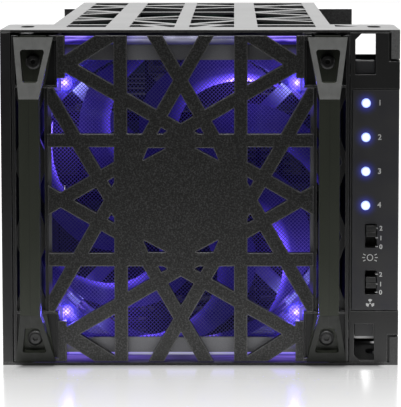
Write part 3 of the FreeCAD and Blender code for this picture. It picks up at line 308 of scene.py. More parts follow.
def buildFloor():
    half = floorLook["halfSide"]
    level = -floorLook["drop"] * mm
    corners = ((-half, -half), (half, -half), (half, half), (-half, half))

    def build(sheet):
        sheet.faces.new([sheet.verts.new((x, y, level)) for x, y in corners])

    mesh = meshFrom("floor", build)
    floor = bpy.data.objects.new("floor", mesh)
    bpy.context.scene.collection.objects.link(floor)
    look, spot = begin("floorWhite")
    x, y = look.axes(spot)[:2]
    near = frontY / mm
    far = near - floorLook["ghostLength"]
    ghost = look.mapped(y, far, near, floorLook["ghostFar"], floorLook["ghostNear"])
    ray = look.add("LightPath", output="Is Camera Ray")
    # Painted shadow under the base: clear is 0 there and 1 outside, and takes away glow, mirror image and
    # thrown light
    reachX = abs(x) - cadBox[1].x / mm
    reachY = abs(y) - cadBox[1].y / mm
    outside = look.sum("MAXIMUM", reachX, reachY)
    beside = look.mapped(reachX, -2 * floorLook["sideFade"], -floorLook["sideFade"])
    ahead = look.mapped(reachY, -2 * floorLook["edgeFade"], -floorLook["edgeFade"])
    clear = look.sum("MAXIMUM", beside, ahead)  # 0 under the middle of the base, 1 outside it
    nearness = look.mapped(outside, 0.0, floorLook["glowReach"], floorLook["glow"], 0.0)
    paint = look.add("BsdfDiffuse", {}, {"Color": floorLook["paint"]})
    dim = look.add("BsdfDiffuse", {}, {"Color": floorLook["dim"]})
    thrown = look.add("Emission", {}, {"Color": white, "Strength": nearness * clear})
    bounce = look.add("AddShader", {}, {0: dim, 1: thrown})
    glow = look.add("Emission", {}, {"Color": white, "Strength": clear * floorLook["whiteness"]})
    base = look.add("MixShader", {}, {0: floorLook["shadowShare"], 1: glow, 2: paint})
    mirror = look.add("BsdfGlossy", {}, {"Color": white, "Roughness": floorLook["ghostBlur"]})
    shown = look.add("MixShader", {}, {0: ghost * clear, 1: base, 2: mirror})
    both = look.add("MixShader", {}, {0: ray, 1: bounce, 2: shown})
    look.add("OutputMaterial", {}, {"Surface": both})
    mesh.materials.append(look.owner)


buildFloor()
print("light and floor placed")

# Finishes. In them, a shade of one number is a grey

# The fan's lamps and clear plastic: places, how far the light reaches, and its hues from deep to bright
glowLook = {"led": 43.6, "reach": 6.0, "wide": 20.0, "deep": (0.032, 0.02, 0.26, 1),
            "mid": (0.09, 0.05, 0.62, 1), "bright": (0.42, 0.3, 1.0, 1), "bore": 57.7, "wallTurn": 34.0,
            "wallReach": 7.0, "swirl": 27.0, "swirlRadius": 50.0, "swirlReach": 11.0, "strutReach": 6.0,
            "side": (50.6, 52.4), "ior": 1.49}


def distance(first, second):
    return (first * first + second * second) ** 0.5


def fanPlace(look, spot):  # sideways and upright from the fan's centre
    x, z = look.axes(spot)[::2]
    return x - fanCentre.x / mm, z - fanCentre.z / mm


def cornerDistance(look, spot):
    sideways, upright = fanPlace(look, spot)
    return distance(abs(sideways) - glowLook["led"], abs(upright) - glowLook["led"])


# Each lamp's bright patch lies a little way round from the lamp itself
def swirlGlow(look, spot, angle, radius, reach):
    x, z = look.axes(spot)[::2]
    nearest = None
    for k in range(4):
        turn = math.radians(angle + 90 * k)
        offX = x - (fanCentre.x / mm + radius * math.sin(turn))
        offZ = z - (fanCentre.z / mm + radius * math.cos(turn))
        away = offX * offX + offZ * offZ
        nearest = away if nearest is None else look.sum("MINIMUM", nearest, away)
    return look.fall(nearest ** 0.5, reach)


def bladeGlow(look, spot):
    return swirlGlow(look, spot, glowLook["swirl"], glowLook["swirlRadius"], glowLook["swirlReach"])


def openSide(look, sideways, least):  # the glow fades at both sides of the fan
    return look.mapped(abs(sideways), *glowLook["side"], 1.0, least)


def glowHue(look, amount, low, middle, high):  # deep at low, mid at middle, bright at high
    warm = look.mixed(look.mapped(amount, low, middle), glowLook["deep"], glowLook["mid"])
    return look.mixed(look.mapped(amount, middle, high), warm, glowLook["bright"])


# The fan's light on the inner faces above and below it, in streaks that run from side to side
spill = {"halfWidth": 56.0, "edge": 1.0, "from": 56.0, "front": (3.0, 9.0, 0.15, 1.0), "back": (24.0, 15.0),
         "inward": (-0.5, -0.9), "lamp": (60.0, 12.0), "dimmest": 0.1, "streak": (0.04, 0.6, 0.0),
         "streaks": (0.35, 0.65, 0.35, 1.0), "hue": (0.3, 0.2, 1.0)}


def lampSpill(look, spot, strength):
    if not strength:
        return {}
    sideways, upright = fanPlace(look, spot)
    deep = look.axes(spot)[1] - frontY / mm
    outward = look.axes(look.facing())[2] * look.add("Math", {"operation": "SIGN"}, {0: upright})
    inner = look.mapped(outward, *spill["inward"]) * (abs(upright) > spill["from"])
    near = look.mapped(cornerDistance(look, spot), *spill["lamp"])
    inside = look.mapped(abs(sideways), spill["halfWidth"], spill["halfWidth"] - spill["edge"])
    window = look.mapped(deep, *spill["front"]) * look.mapped(deep, *spill["back"])
    streaks = look.mapped(look.grain(look.stretched(spot, spill["streak"]), 1.0), *spill["streaks"])
    level = near * near * (1.0 - spill["dimmest"]) + spill["dimmest"]
    amount = inner * level * streaks * inside * window
    return {"Emission Color": look.scaled(spill["hue"], amount), "Emission Strength": strength}


# Steel under a fine powder coat. The front faces of the tabs are painted paler, as the light that they
# catch, less so on the lower cover, and the lower cover is duller. Its edges are paler: wear and a painted
# highlight
coat = {"dark": 28, "light": 64, "edgeWearAndHighlight": 70, "edgeHighlight": 0.2, "grain": 1.6, "peel": 0.5, "peelDepth": 0.006,
        "dust": 0.03, "radius": 0.07, "roughness": 0.24, "tabX": 70.6, "paintedLitTabFront": (2.0, 0.5),
        "tabFrontRoughness": 0.4, "mottle": (0.35, 0.75), "paintedTabLightMottle": (0.3, 0.6, 0.45, 1.0)}
# front: the grey of the painted light on the tab fronts; the lower cover's darker one is painted shade
steel = {"dull": 0.0, "sheen": 0.5, "front": 84, "spilled": 0.0}
lowSteel = {"dull": 0.3, "sheen": 0.25, "front": 60, "spilled": 0.75}


def powderCoat(name, cover):
    look, spot = begin(name)
    x, y = look.axes(spot)[:2]
    # Painted light on the front faces of the tabs, which are also rougher
    paintedLitTabFront = look.mapped(y - frontY / mm, *coat["paintedLitTabFront"]) * (abs(x) > coat["tabX"])
    speckle = look.grain(spot, coat["grain"], 3.0, 0.6)
    peel = look.grain(spot, coat["peel"])
    dust = look.grain(spot, coat["dust"], 3.0)
    corner = look.rounded(coat["radius"])
    base = look.mixed(look.mapped(speckle, *coat["mottle"]), tone(coat["dark"]), tone(coat["light"]))
    withPaintedTabLight = look.mixed(paintedLitTabFront * look.mapped(speckle, *coat["paintedTabLightMottle"]), base, tone(cover["front"]))
    # Edges paler: worn coat and a painted highlight
    edgeWornAndLit = look.mixed(look.edge(corner) * coat["edgeHighlight"], withPaintedTabLight, tone(coat["edgeWearAndHighlight"]))
    matt = coat["roughness"] + cover["dull"] + paintedLitTabFront * coat["tabFrontRoughness"]
    return look.finish({
        **lampSpill(look, spot, cover["spilled"]),
        "Base Color": edgeWornAndLit,
        "Roughness": matt + (dust + speckle) * 0.06,
        "Normal": look.bump(speckle * 0.6 + peel, coat["peelDepth"], corner, 0.7),
        "Specular IOR Level": cover["sheen"]})


# Moulded plastics with a pebbled skin, a little clouded, and with a painted highlight along the edges
pebbled = {"fine": 3.0, "cloud": 0.05, "cloudShare": 0.35, "edgeHighlight": 0.5}
mouldLook = {"dark": 20, "light": 31, "cloud": 33, "rim": 96, "pebble": 1.7, "depth": 0.03,
             "roughness": 0.45, "sheen": 0.27, "radius": 0.5, "spilled": 0.0}
moduleLook = {"dark": 17, "light": 28, "cloud": 30, "rim": 110, "pebble": 2.0, "depth": 0.02,
              "roughness": 0.4, "sheen": 0.36, "radius": 0.5, "spilled": 0.8}
faceLook = {"dark": 15, "light": 26, "cloud": 28, "rim": 50, "pebble": 1.4, "depth": 0.03,
            "roughness": 0.55, "sheen": 0.1, "radius": 0.3, "spilled": 0.0}
knobLook = {"dark": 21, "light": 32, "cloud": 34, "rim": 90, "pebble": 3.0, "depth": 0.01,
            "roughness": 0.35, "sheen": 0.4, "radius": 0.25, "spilled": 0.0}


def pebbledPlastic(name, plastic):
    look, spot = begin(name)
    cellSockets = {"Vector": spot, "Scale": plastic["pebble"]}
    cells = look.add("TexVoronoi", {"feature": "SMOOTH_F1"}, cellSockets, "Distance")
    fine = look.grain(spot, plastic["pebble"] * pebbled["fine"], 2.0, 0.6)
    cloud = look.grain(spot, pebbled["cloud"], 3.0)
    corner = look.rounded(plastic["radius"])
    rim = look.edge(corner)
    mottled = look.mixed(look.spread(fine), tone(plastic["dark"]), tone(plastic["light"]))
    clouded = look.mixed(look.spread(cloud) * pebbled["cloudShare"], mottled, tone(plastic["cloud"]))
    return look.finish({
        **lampSpill(look, spot, plastic["spilled"]),
        # Painted highlight: the edges are mixed towards the paler rim grey
        "Base Color": look.mixed(rim * pebbled["edgeHighlight"], clouded, tone(plastic["rim"])),
        "Roughness": plastic["roughness"] + (fine - 0.5) * 0.25 - rim * 0.15,
        "Normal": look.bump(cells * 0.7 + fine * 0.5, plastic["depth"], corner, 0.6),
        "Specular IOR Level": plastic["sheen"]})


# Grille: a sandy powder coat with flecks, and a painted highlight along its edges
grilleLook = {"dark": (12, 12, 10), "fleck": 60, "rim": 112, "edgeHighlight": 0.7, "grain": 1.7, "lump": 0.595,
              "flecks": (0.46, 0.68), "depth": 0.04, "radius": 0.8, "roughness": 0.5, "sheen": 0.28}


def sandyCoat():
    look, spot = begin("grillePowderCoat")
    sand = look.grain(spot, grilleLook["grain"], 4.0, 0.75)
    lumps = look.grain(spot, grilleLook["lump"])
    corner = look.rounded(grilleLook["radius"])
    rim = look.edge(corner)
    flecks = look.mapped(sand, *grilleLook["flecks"])
    base = look.mixed(flecks, tone(grilleLook["dark"]), tone(grilleLook["fleck"]))
    return look.finish({
        # Painted highlight along the edges
        "Base Color": look.mixed(rim * grilleLook["edgeHighlight"], base, tone(grilleLook["rim"])),
        "Roughness": grilleLook["roughness"] + (lumps - 0.5) * 0.2 - rim * 0.28,
        "Normal": look.bump(sand, grilleLook["depth"], corner, 0.8),
        "Specular IOR Level": grilleLook["sheen"]})


# Handles: smooth plastic with flow marks and a seam down the middle, with painted shade where it slopes up
# or down
# slope: the grey of the painted shade on the slopes
handleLook = {"dark": (38, 40, 34), "light": (48, 51, 44), "slope": (8, 10, 6), "line": 28, "seam": 0.12,
              "grain": 4.2, "flow": (0.5, 0.5, 0.06), "depth": 0.02, "roughness": 0.36, "sheen": 0.25,
              "down": (-0.05, -0.2), "up": (0.05, 0.2), "notTop": (0.9, 0.8), "upShadeShare": 0.85}


def handlePlastic():
    look, spot = begin("mouldedHandlePlastic")
    x = look.axes(spot)[0]
    fine = look.grain(spot, handleLook["grain"], 3.0, 0.6)
    flow = look.grain(look.stretched(spot, handleLook["flow"]), 1.0)
    left, right = [(low.x + high.x) / 2 / mm for low, high in map(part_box, ("left_handle", "right_handle"))]
    seam = (abs(x - left) < handleLook["seam"]) + (abs(x - right) < handleLook["seam"])
    upright = look.axes(look.facing())[2]
    down = look.mapped(upright, *handleLook["down"])
    up = look.mapped(upright, *handleLook["up"]) * look.mapped(upright, *handleLook["notTop"])
    base = look.mixed(look.spread(fine), tone(handleLook["dark"]), tone(handleLook["light"]))
    # Painted shade on faces that slope down, and a little less on those that slope up
    paintedSlopeShade = look.mixed(down + up * handleLook["upShadeShare"], base, tone(handleLook["slope"]))
    matt = handleLook["roughness"] + down * 0.45 + up * 0.1
    return look.finish({
        "Base Color": look.mixed(seam * 0.5, paintedSlopeShade, tone(handleLook["line"])),
        "Roughness": matt + (fine - 0.5) * 0.15 + (flow - 0.5) * 0.2,
        "Normal": look.bump(fine * 0.5 + flow - seam * 1.5, handleLook["depth"], None, 0.5),
        "Specular IOR Level": handleLook["sheen"]})


# Control panel, with a blue halo round each of its lights and a painted highlight along its edges
panelLook = {"dark": (42, 42, 46), "light": 49, "rim": 95, "edgeHighlight": 0.6, "radius": 0.25,
             "roughness": 0.5, "sheen": 0.22}
lights = {"count": 4, "halo": 1.3, "haloEnd": (5.0, 2.5), "blue": (0.06, 0.07, 0.75)}
lightsLow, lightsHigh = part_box("status_lights")
lights["radius"] = (lightsHigh.x - lightsLow.x) / 2 / mm


def lightDistance(look, spot):
    pitch = ((lightsHigh.z - lightsLow.z) / mm - 2 * lights["radius"]) / (lights["count"] - 1)
    x, z = look.axes(spot)[::2]
    step = (z - (lightsLow.z / mm + lights["radius"])) / pitch
    row = look.add("Math", {"operation": "ROUND"}, {0: step})
    nearest = look.add("Clamp", {}, {"Value": row, "Min": 0, "Max": lights["count"] - 1})
    return distance(x - (lightsLow.x + lightsHigh.x) / 2 / mm, (step - nearest) * pitch)


def panelPlastic():
    look, spot = begin("smoothPanelPlastic")
    fine = look.grain(spot, 6.0)
    cloud = look.grain(spot, 0.08)
    corner = look.rounded(panelLook["radius"])
    base = look.mixed(look.spread(cloud), tone(panelLook["dark"]), tone(panelLook["light"]))
    away = lightDistance(look, spot)
    halo = look.fall(away, lights["halo"]) * look.mapped(away, *lights["haloEnd"])
    return look.finish({
        # Painted highlight along the edges
        "Base Color": look.mixed(look.edge(corner) * panelLook["edgeHighlight"], base, tone(panelLook["rim"])),
        "Emission Color": look.scaled(lights["blue"], halo),
        "Emission Strength": 1.0,
        "Roughness": panelLook["roughness"] + (fine - 0.5) * 0.1 + (cloud - 0.5) * 0.1,
        "Normal": look.bump(fine, 0.004, corner, 0.4),
        "Specular IOR Level": panelLook["sheen"]})


lensLook = {"body": (205, 215, 255), "core": (0.95, 1.0, 1.0, 1), "cool": (0.72, 0.86, 1.0, 1),
            "rim": (0.3, 0.4, 1.0, 1), "rimRange": (0.7, 1.5), "strength": 1.4, "rimLoss": 0.5}


def litLens():
    look, spot = begin("litLens")
    flow = look.grain(spot, 1.5)
    rim = look.mapped(lightDistance(look, spot), *lensLook["rimRange"])
    hue = look.mixed(rim, look.mixed(flow, lensLook["cool"], lensLook["core"]), lensLook["rim"])
    return look.finish({
        "Base Color": tone(lensLook["body"]),
        "Roughness": 0.15 + flow * 0.1,
        "Emission Color": look.scaled(hue, lensLook["strength"] - rim * lensLook["rimLoss"]),
        "Emission Strength": 1.0})


cornerLook = {"body": (90, 80, 200), "deep": (0.05, 0.03, 0.3, 1), "violet": (0.16, 0.1, 0.6, 1),
              "glint": (0.75, 0.65, 1.0, 1), "facet": 0.5, "glintRange": (1.3, 0.8)}


def cornerLens():
    look, spot = begin("cornerLens")
    facets = look.facets(spot, cornerLook["facet"])
    away = cornerDistance(look, spot) + facets
    glint = look.mapped(away, *cornerLook["glintRange"])
    violet = look.mixed(look.spread(facets), cornerLook["deep"], cornerLook["violet"])
    return look.finish({
        "Base Color": tone(cornerLook["body"]),
        "Roughness": 0.15 + facets * 0.1,
        "Emission Color": look.mixed(glint, violet, cornerLook["glint"]),
        "Emission Strength": 1.0})


# Clear plastic in the dark, lit from its corners: facets near the lamps, light along the bore's wall and
# the struts, a rippled band along the upper edge and a plain one along the lower edge. All this light is
# painted as emission, over a navy base that is a painted tint of it
housingLook = {"dark": (0.02, 0.02, 0.1, 1), "light": (0.07, 0.07, 0.2, 1), "flow": 0.12, "facet": 0.22,
               "facets": (0.35, 0.7, 0.1, 1.3), "wall": (1.0, 0.35), "strutGap": 0.4, "band": (57.5, 59.5),
               "ripple": 2.3, "rippleTurn": 5.0, "patch": (0.05, 0, 0), "patches": (0.42, 0.62, 0.15, 1.0),
               "patchLeast": 0.15, "sill": 58.0, "sillWidth": (2.2, 1.4), "sillShare": 0.9,
               "plainMiddle": (34.0, 12.0), "plain": (0.3, 0.3, 0.4, 1), "hues": (0.05, 0.4, 1.0),
               "bandHue": 0.6, "flashes": (0.2, 0.9), "wallFlash": 0.5, "flash": (0.36, 0.38, 1.0, 1),
               "sideLeast": 0.06, "edge": 0.5, "roughness": 0.1, "through": 0.2, "sheen": 0.6}
housingShares = {"sparkle": 0.35, "wide": 0.25, "band": 0.8, "rim": 0.2, "wall": 0.8, "strut": 1.1,
                 "all": 0.13}


def housingBand(look, spot, flow, upright):
    border = look.mapped(abs(upright), *housingLook["band"])
    z = look.axes(spot)[2]
    phase = z * housingLook["ripple"] + flow * housingLook["rippleTurn"]
    ripple = look.add("Math", {"operation": "SINE"}, {0: phase}) * 0.5 + 0.5
    cloud = look.grain(look.stretched(spot, housingLook["patch"]), 1.0, 1.0)
    patches = look.mapped(cloud, *housingLook["patches"])
    below = upright < 0.0
    offSill = abs(abs(upright) - housingLook["sill"])
    sill = look.mapped(offSill, *housingLook["sillWidth"]) * housingLook["sillShare"]
    rippled = border * (housingLook["patchLeast"] + ripple * patches)
    return border, rippled * (1 - below) + below * sill


def clearFanPlastic():
    look, spot = begin("clearFanPlastic")
    flow = look.grain(spot, housingLook["flow"], 3.0)
    away = cornerDistance(look, spot)
    facets = look.mapped(look.facets(spot, housingLook["facet"]), *housingLook["facets"])
    sparkle = look.fall(away, glowLook["reach"]) * facets
    wide = look.fall(away, glowLook["wide"])
    sideways, upright = fanPlace(look, spot)
    inward = glowLook["bore"] - distance(sideways, upright)
    strut = (inward > housingLook["strutGap"]) * look.fall(inward, glowLook["strutReach"])
    wall = look.mapped(abs(inward), *housingLook["wall"])
    lit = wall * swirlGlow(look, spot, glowLook["wallTurn"], glowLook["bore"], glowLook["wallReach"])
    border, band = housingBand(look, spot, flow, upright)
    corner = look.rounded(housingLook["edge"])
    levels = {"sparkle": sparkle, "wide": wide, "band": band, "wall": lit, "strut": strut,
              "rim": look.edge(corner)}
    strength = housingShares["all"]
    for part, level in levels.items():
        strength = level * housingShares[part] + strength
    strength *= openSide(look, sideways, housingLook["sideLeast"])
    hue = glowHue(look, sparkle + band * housingLook["bandHue"], *housingLook["hues"])
    flashes = look.mapped(lit * housingLook["wallFlash"] + strut, *housingLook["flashes"])
    flashed = look.mixed(flashes, hue, housingLook["flash"])
    # Painted reflection: the middle of each band turns grey
    plain = border * look.mapped(abs(sideways), *housingLook["plainMiddle"])
    return look.finish({
        "Base Color": look.mixed(flow, housingLook["dark"], housingLook["light"]),
        "Roughness": housingLook["roughness"] + flow * 0.08,
        "Transmission Weight": housingLook["through"],
        "IOR": glowLook["ior"],
        "Emission Color": look.scaled(look.mixed(plain, flashed, housingLook["plain"]), strength),
        "Emission Strength": 1.0,
        "Normal": corner,
        "Specular IOR Level": housingLook["sheen"]})


# The same plastic in the blades: their leading edges carry the light, painted as emission over a navy base
# that is a painted tint of it
bladeLook = {"dark": (0.015, 0.015, 0.07, 1), "light": (0.05, 0.05, 0.15, 1), "flow": 0.2,
             "outer": (22.0, 57.0), "lead": (0.3, 0.04), "edge": (0.5, 0.0), "edgeLeast": 0.05,
             "hues": (0.0, 0.5, 1.0), "sideLeast": 0.1, "roughness": 0.12, "through": 0.15, "depth": 0.05}
bladeShares = {"strip": 6.0, "edge": 2.6, "outer": 0.5, "rest": 0.08, "all": 0.1}


def clearRotorPlastic():
    look, spot = begin("clearRotorPlastic")
    sideways, upright = fanPlace(look, spot)
    outer = look.mapped(distance(sideways, upright), *bladeLook["outer"])
    flow = look.grain(spot, bladeLook["flow"], 3.0)
    near = bladeGlow(look, spot)
    chord = look.add("Attribute", {"attribute_name": "chordPlace"}, {}, "Fac")
    strip = look.mapped(chord, *bladeLook["lead"]) * near
    edge = look.mapped(chord, *bladeLook["edge"]) * outer * (near + bladeLook["edgeLeast"])
    shine = strip * bladeShares["strip"] + edge * bladeShares["edge"]
    rest = outer * near * bladeShares["outer"] + outer * bladeShares["rest"] + bladeShares["all"]
    strength = (shine + rest) * openSide(look, sideways, bladeLook["sideLeast"])
    return look.finish({
        "Base Color": look.mixed(flow, bladeLook["dark"], bladeLook["light"]),
        "Roughness": bladeLook["roughness"] + flow * 0.08,
        "Transmission Weight": bladeLook["through"],
        "IOR": glowLook["ior"],
        "Emission Color": look.scaled(glowHue(look, strip, *bladeLook["hues"]), strength),
        "Emission Strength": 1.0,
        "Normal": look.bump(flow, bladeLook["depth"], None, 0.3)})


# Dust mesh wires: their grey leans blue, a painted tint of the fan's light, and their glow is painted as
# emission
meshLook = {"dark": (34, 34, 46), "light": (66, 66, 84), "dim": (0.007, 0.006, 0.04, 1),
            "lit": (0.07, 0.04, 0.4, 1), "metal": 0.4, "roughness": 0.4, "depth": 0.01}


def meshWire():
    look, spot = begin("filterWire")
    fine = look.grain(spot, 5.0)
    return look.finish({
        "Base Color": look.mixed(fine, tone(meshLook["dark"]), tone(meshLook["light"])),
        "Metallic": meshLook["metal"],
        "Roughness": meshLook["roughness"] + fine * 0.2,
        "Emission Color": look.mixed(bladeGlow(look, spot), meshLook["dim"], meshLook["lit"]),
        "Emission Strength": 1.0,
        "Normal": look.bump(fine, meshLook["depth"], None, 0.5)})


boardLook = {"dark": (10, 24, 18), "light": (20, 42, 31), "dust": (15, 34, 25),
             "track": (0.16, 0.16, 0.5), "trackEdge": 0.05, "depth": 0.03, "radius": 0.15,
             "roughness": 0.32}


def circuitBoard():
    look, spot = begin("circuitBoard")
    cellSockets = {"Vector": look.stretched(spot, boardLook["track"]), "Scale": 1.0}
    tracks = look.add("TexVoronoi", {"feature": "DISTANCE_TO_EDGE"}, cellSockets, "Distance")
    line = tracks < boardLook["trackEdge"]
    fine = look.grain(spot, 3.0)
    base = look.mixed(line, tone(boardLook["dark"]), tone(boardLook["light"]))
    return look.finish({
        "Base Color": look.mixed(fine * 0.3, base, tone(boardLook["dust"])),
        "Roughness": boardLook["roughness"] + fine * 0.1,
        "Normal": look.bump(line, boardLook["depth"], look.rounded(boardLook["radius"]), 0.5)})


# Screws and connectors: a fine grain between two tones, with a painted highlight along the edges
screwLook = {"dark": 26, "light": 42, "rim": 84, "edgeHighlight": 1.0, "metal": 0.4, "grain": 5.0, "radius": 0.3,
             "roughness": 0.3}
connectorLook = {"dark": 22, "light": 36, "rim": 80, "edgeHighlight": 0.5, "metal": 0.0, "grain": 4.0,
                 "radius": 0.25, "roughness": 0.42}


def smallPart(name, part):
    look, spot = begin(name)
    fine = look.grain(spot, part["grain"], 3.0)
    corner = look.rounded(part["radius"])
    base = look.mixed(fine, tone(part["dark"]), tone(part["light"]))
    return look.finish({
        "Base Color": look.mixed(look.edge(corner) * part["edgeHighlight"], base, tone(part["rim"])),
        "Metallic": part["metal"],
        "Roughness": part["roughness"] + fine * 0.15,
        "Normal": look.bump(fine, 0.01, corner, 0.4)})


brassLook = {"dark": (196, 158, 84), "light": (226, 192, 118), "roughness": 0.22, "radius": 0.2}


def contactBrass():
    look, spot = begin("contactBrass")
    fine = look.grain(spot, 4.0, 3.0)
    return look.finish({
        "Base Color": look.mixed(fine, tone(brassLook["dark"]), tone(brassLook["light"])),
        "Metallic": 1.0,
        "Roughness": brassLook["roughness"] + fine * 0.15,
        "Normal": look.rounded(brassLook["radius"])})


leadLook = {"dark": 24, "light": 40, "band": 0.6, "depth": 0.05, "roughness": 0.45}


def leadRubber():
    look, spot = begin("leadRubber")
    fine = look.grain(spot, 3.0, 3.0)
    waveSockets = {"Vector": spot, "Scale": leadLook["band"], "Distortion": 0.6}
    bands = look.add("TexWave", {"bands_direction": "Y"}, waveSockets, "Fac")
    return look.finish({
        "Base Color": look.mixed(fine, tone(leadLook["dark"]), tone(leadLook["light"])),
        "Roughness": leadLook["roughness"] + fine * 0.15,
        "Normal": look.bump(bands * 0.3 + fine, leadLook["depth"], None, 0.4)})


ironLook = {"dark": (66, 62, 58), "light": (104, 98, 92), "ply": 0.9, "depth": 0.05, "radius": 0.2,
            "metal": 0.8, "roughness": 0.45}


def ironLamination():
    look, spot = begin("motorIron")
    fine = look.grain(spot, 3.0, 3.0)
    waveSockets = {"Vector": spot, "Scale": ironLook["ply"]}
    plies = look.add("TexWave", {"bands_direction": "Y"}, waveSockets, "Fac")
    return look.finish({
        "Base Color": look.mixed(fine, tone(ironLook["dark"]), tone(ironLook["light"])),
        "Metallic": ironLook["metal"],
        "Roughness": ironLook["roughness"] + fine * 0.2,
        "Normal": look.bump(plies, ironLook["depth"], look.rounded(ironLook["radius"]), 0.5)})


# Zinc on the trays, with its spangle and the marks of the rolling, and a painted highlight along the edges
zincLook = {"dark": (16, 16, 18), "light": (27, 27, 30), "rim": 56, "edgeHighlight": 0.4, "spangle": 0.22,
            "brush": (3.0, 0.08, 3.0), "depth": 0.01, "radius": 0.2, "metal": 0.1, "roughness": 0.55,
            "sheen": 0.1}


def zincSteel():
    look, spot = begin("trayZincSteel")
    shade = look.facets(spot, zincLook["spangle"])
    brushed = look.grain(look.stretched(spot, zincLook["brush"]), 1.0, 3.0)
    corner = look.rounded(zincLook["radius"])
    base = look.mixed(shade, tone(zincLook["dark"]), tone(zincLook["light"]))
    return look.finish({
        "Base Color": look.mixed(look.edge(corner) * zincLook["edgeHighlight"], base, tone(zincLook["rim"])),
        "Metallic": zincLook["metal"],
        "Roughness": zincLook["roughness"] + shade * 0.12 + brushed * 0.1,
        "Normal": look.bump(brushed, zincLook["depth"], corner, 0.4),
        "Specular IOR Level": zincLook["sheen"]})


filterLook = {"dark": (72, 72, 76), "light": (98, 98, 102), "unlit": (0, 0, 0, 1),
              "lit": (0.08, 0.05, 0.45, 1), "lamp": (14.0, 4.0), "radius": 0.2, "roughness": 0.5}


def filterGrey():
    look, spot = begin("filterFrameGrey")
    fine = look.grain(spot, 3.0, 3.0)
    near = look.mapped(cornerDistance(look, spot), *filterLook["lamp"])
    return look.finish({
        "Base Color": look.mixed(fine, tone(filterLook["dark"]), tone(filterLook["light"])),
        "Emission Color": look.mixed(near, filterLook["unlit"], filterLook["lit"]),
        "Emission Strength": 1.0,
        "Roughness": filterLook["roughness"] + fine * 0.15,
        "Normal": look.bump(fine, 0.01, look.rounded(filterLook["radius"]), 0.4)})


rotorFinish = clearRotorPlastic()
wireFinish = meshWire()
bays = (1, 2, 3, 4)

dress(["bottom_cover"], powderCoat("dullBlackSteel", lowSteel))
dress(["top_cover", "left_side_wall", "right_side_wall", "backplane_plate", "rear_cowl", "left_bracket",
       "right_bracket"], powderCoat("powderBlackSteel", steel))
dress(["left_stile", "right_surround"], pebbledPlastic("texturedBlackPlastic", mouldLook))
dress(["module_frame"], pebbledPlastic("modulePlastic", moduleLook))
dress(["tray_face_%d" % n for n in bays], pebbledPlastic("trayFacePlastic", faceLook))
dress(["light_switch_knob", "fan_switch_knob"], pebbledPlastic("knobPlastic", knobLook))
dress(["drive_tray_%d" % n for n in bays] + ["left_runners", "right_runners"], zincSteel())
dress(["fan_grille"], sandyCoat())
dress(["left_handle", "right_handle"], handlePlastic())
dress(["control_panel", "upper_latch", "lower_latch"], panelPlastic())
dress(["fan_housing"], clearFanPlastic())
dress(["fan_rotor"], rotorFinish)
dress(["status_lights"], litLens())
dress(["corner_lights"], cornerLens())
dress(["dust_mesh"], wireFinish)
dress(["filter_frame"], filterGrey())
dress(["control_board", "module_contacts", "backplane_board"], circuitBoard())
dress(["control_board_screws", "handle_screws", "fan_screws", "board_screws", "rotor_shaft"],
      smallPart("darkScrewSteel", screwLook))
dress(["fan_bearing", "board_standoffs"], contactBrass())
dress(["control_lead"], leadRubber())
dress(["light_switch_body", "fan_switch_body", "cage_contacts", "drive_sockets", "data_connectors",
       "power_connectors", "lead_plug"], smallPart("connectorPlastic", connectorLook))
dress(["fan_stator", "rotor_magnet"], ironLamination())
print("finishes made")

# Handles: the edges of the moulding are rounded off
handleEdge = {"width": 0.9, "segments": 3, "angle": 25.0, "weld": 0.02, "flat": 2.0}

for handleName in ("left_handle", "right_handle"):
    holder = nodes[handleName]
    weld = holder.modifiers.new("weld", "WELD")
    weld.merge_threshold = handleEdge["weld"] * mm
    flat = holder.modifiers.new("flat", "DECIMATE")
    flat.decimate_type = "DISSOLVE"
    flat.angle_limit = math.radians(handleEdge["flat"])
    bevel = holder.modifiers.new("corner", "BEVEL")
    bevel.width = handleEdge["width"] * mm
    bevel.segments = handleEdge["segments"]
    bevel.limit_method = "ANGLE"
    bevel.angle_limit = math.radians(handleEdge["angle"])

# Dust mesh: two layers of straight wires, corner to corner across the plus-shaped filter
wires = {"pitch": 1.03, "width": 0.24, "depth": 0.14, "gap": 0.02, "armHeight": 42.0, "armWidth": 46.0,
         "reach": 90.0}


def spans(origin, heading, rectangles):  # the stretches of a line that lie in either rectangle
    kept = []
    for (x0, x1), (z0, z1) in rectangles:
        low, high = -math.inf, math.inf
        for start, step, a, b in ((origin[0], heading[0], x0, x1), (origin[1], heading[1], z0, z1)):
            first, second = sorted(((a - start) / step, (b - start) / step))
            low, high = max(low, first), min(high, second)
        if high - low > wires["pitch"] * mm:
            kept.append((low, high))
    kept.sort()
    joinedSpans = []
    for low, high in kept:
        if joinedSpans and low <= joinedSpans[-1][1]:
            joinedSpans[-1] = (joinedSpans[-1][0], max(high, joinedSpans[-1][1]))
        else:
            joinedSpans.append((low, high))
    return joinedSpans


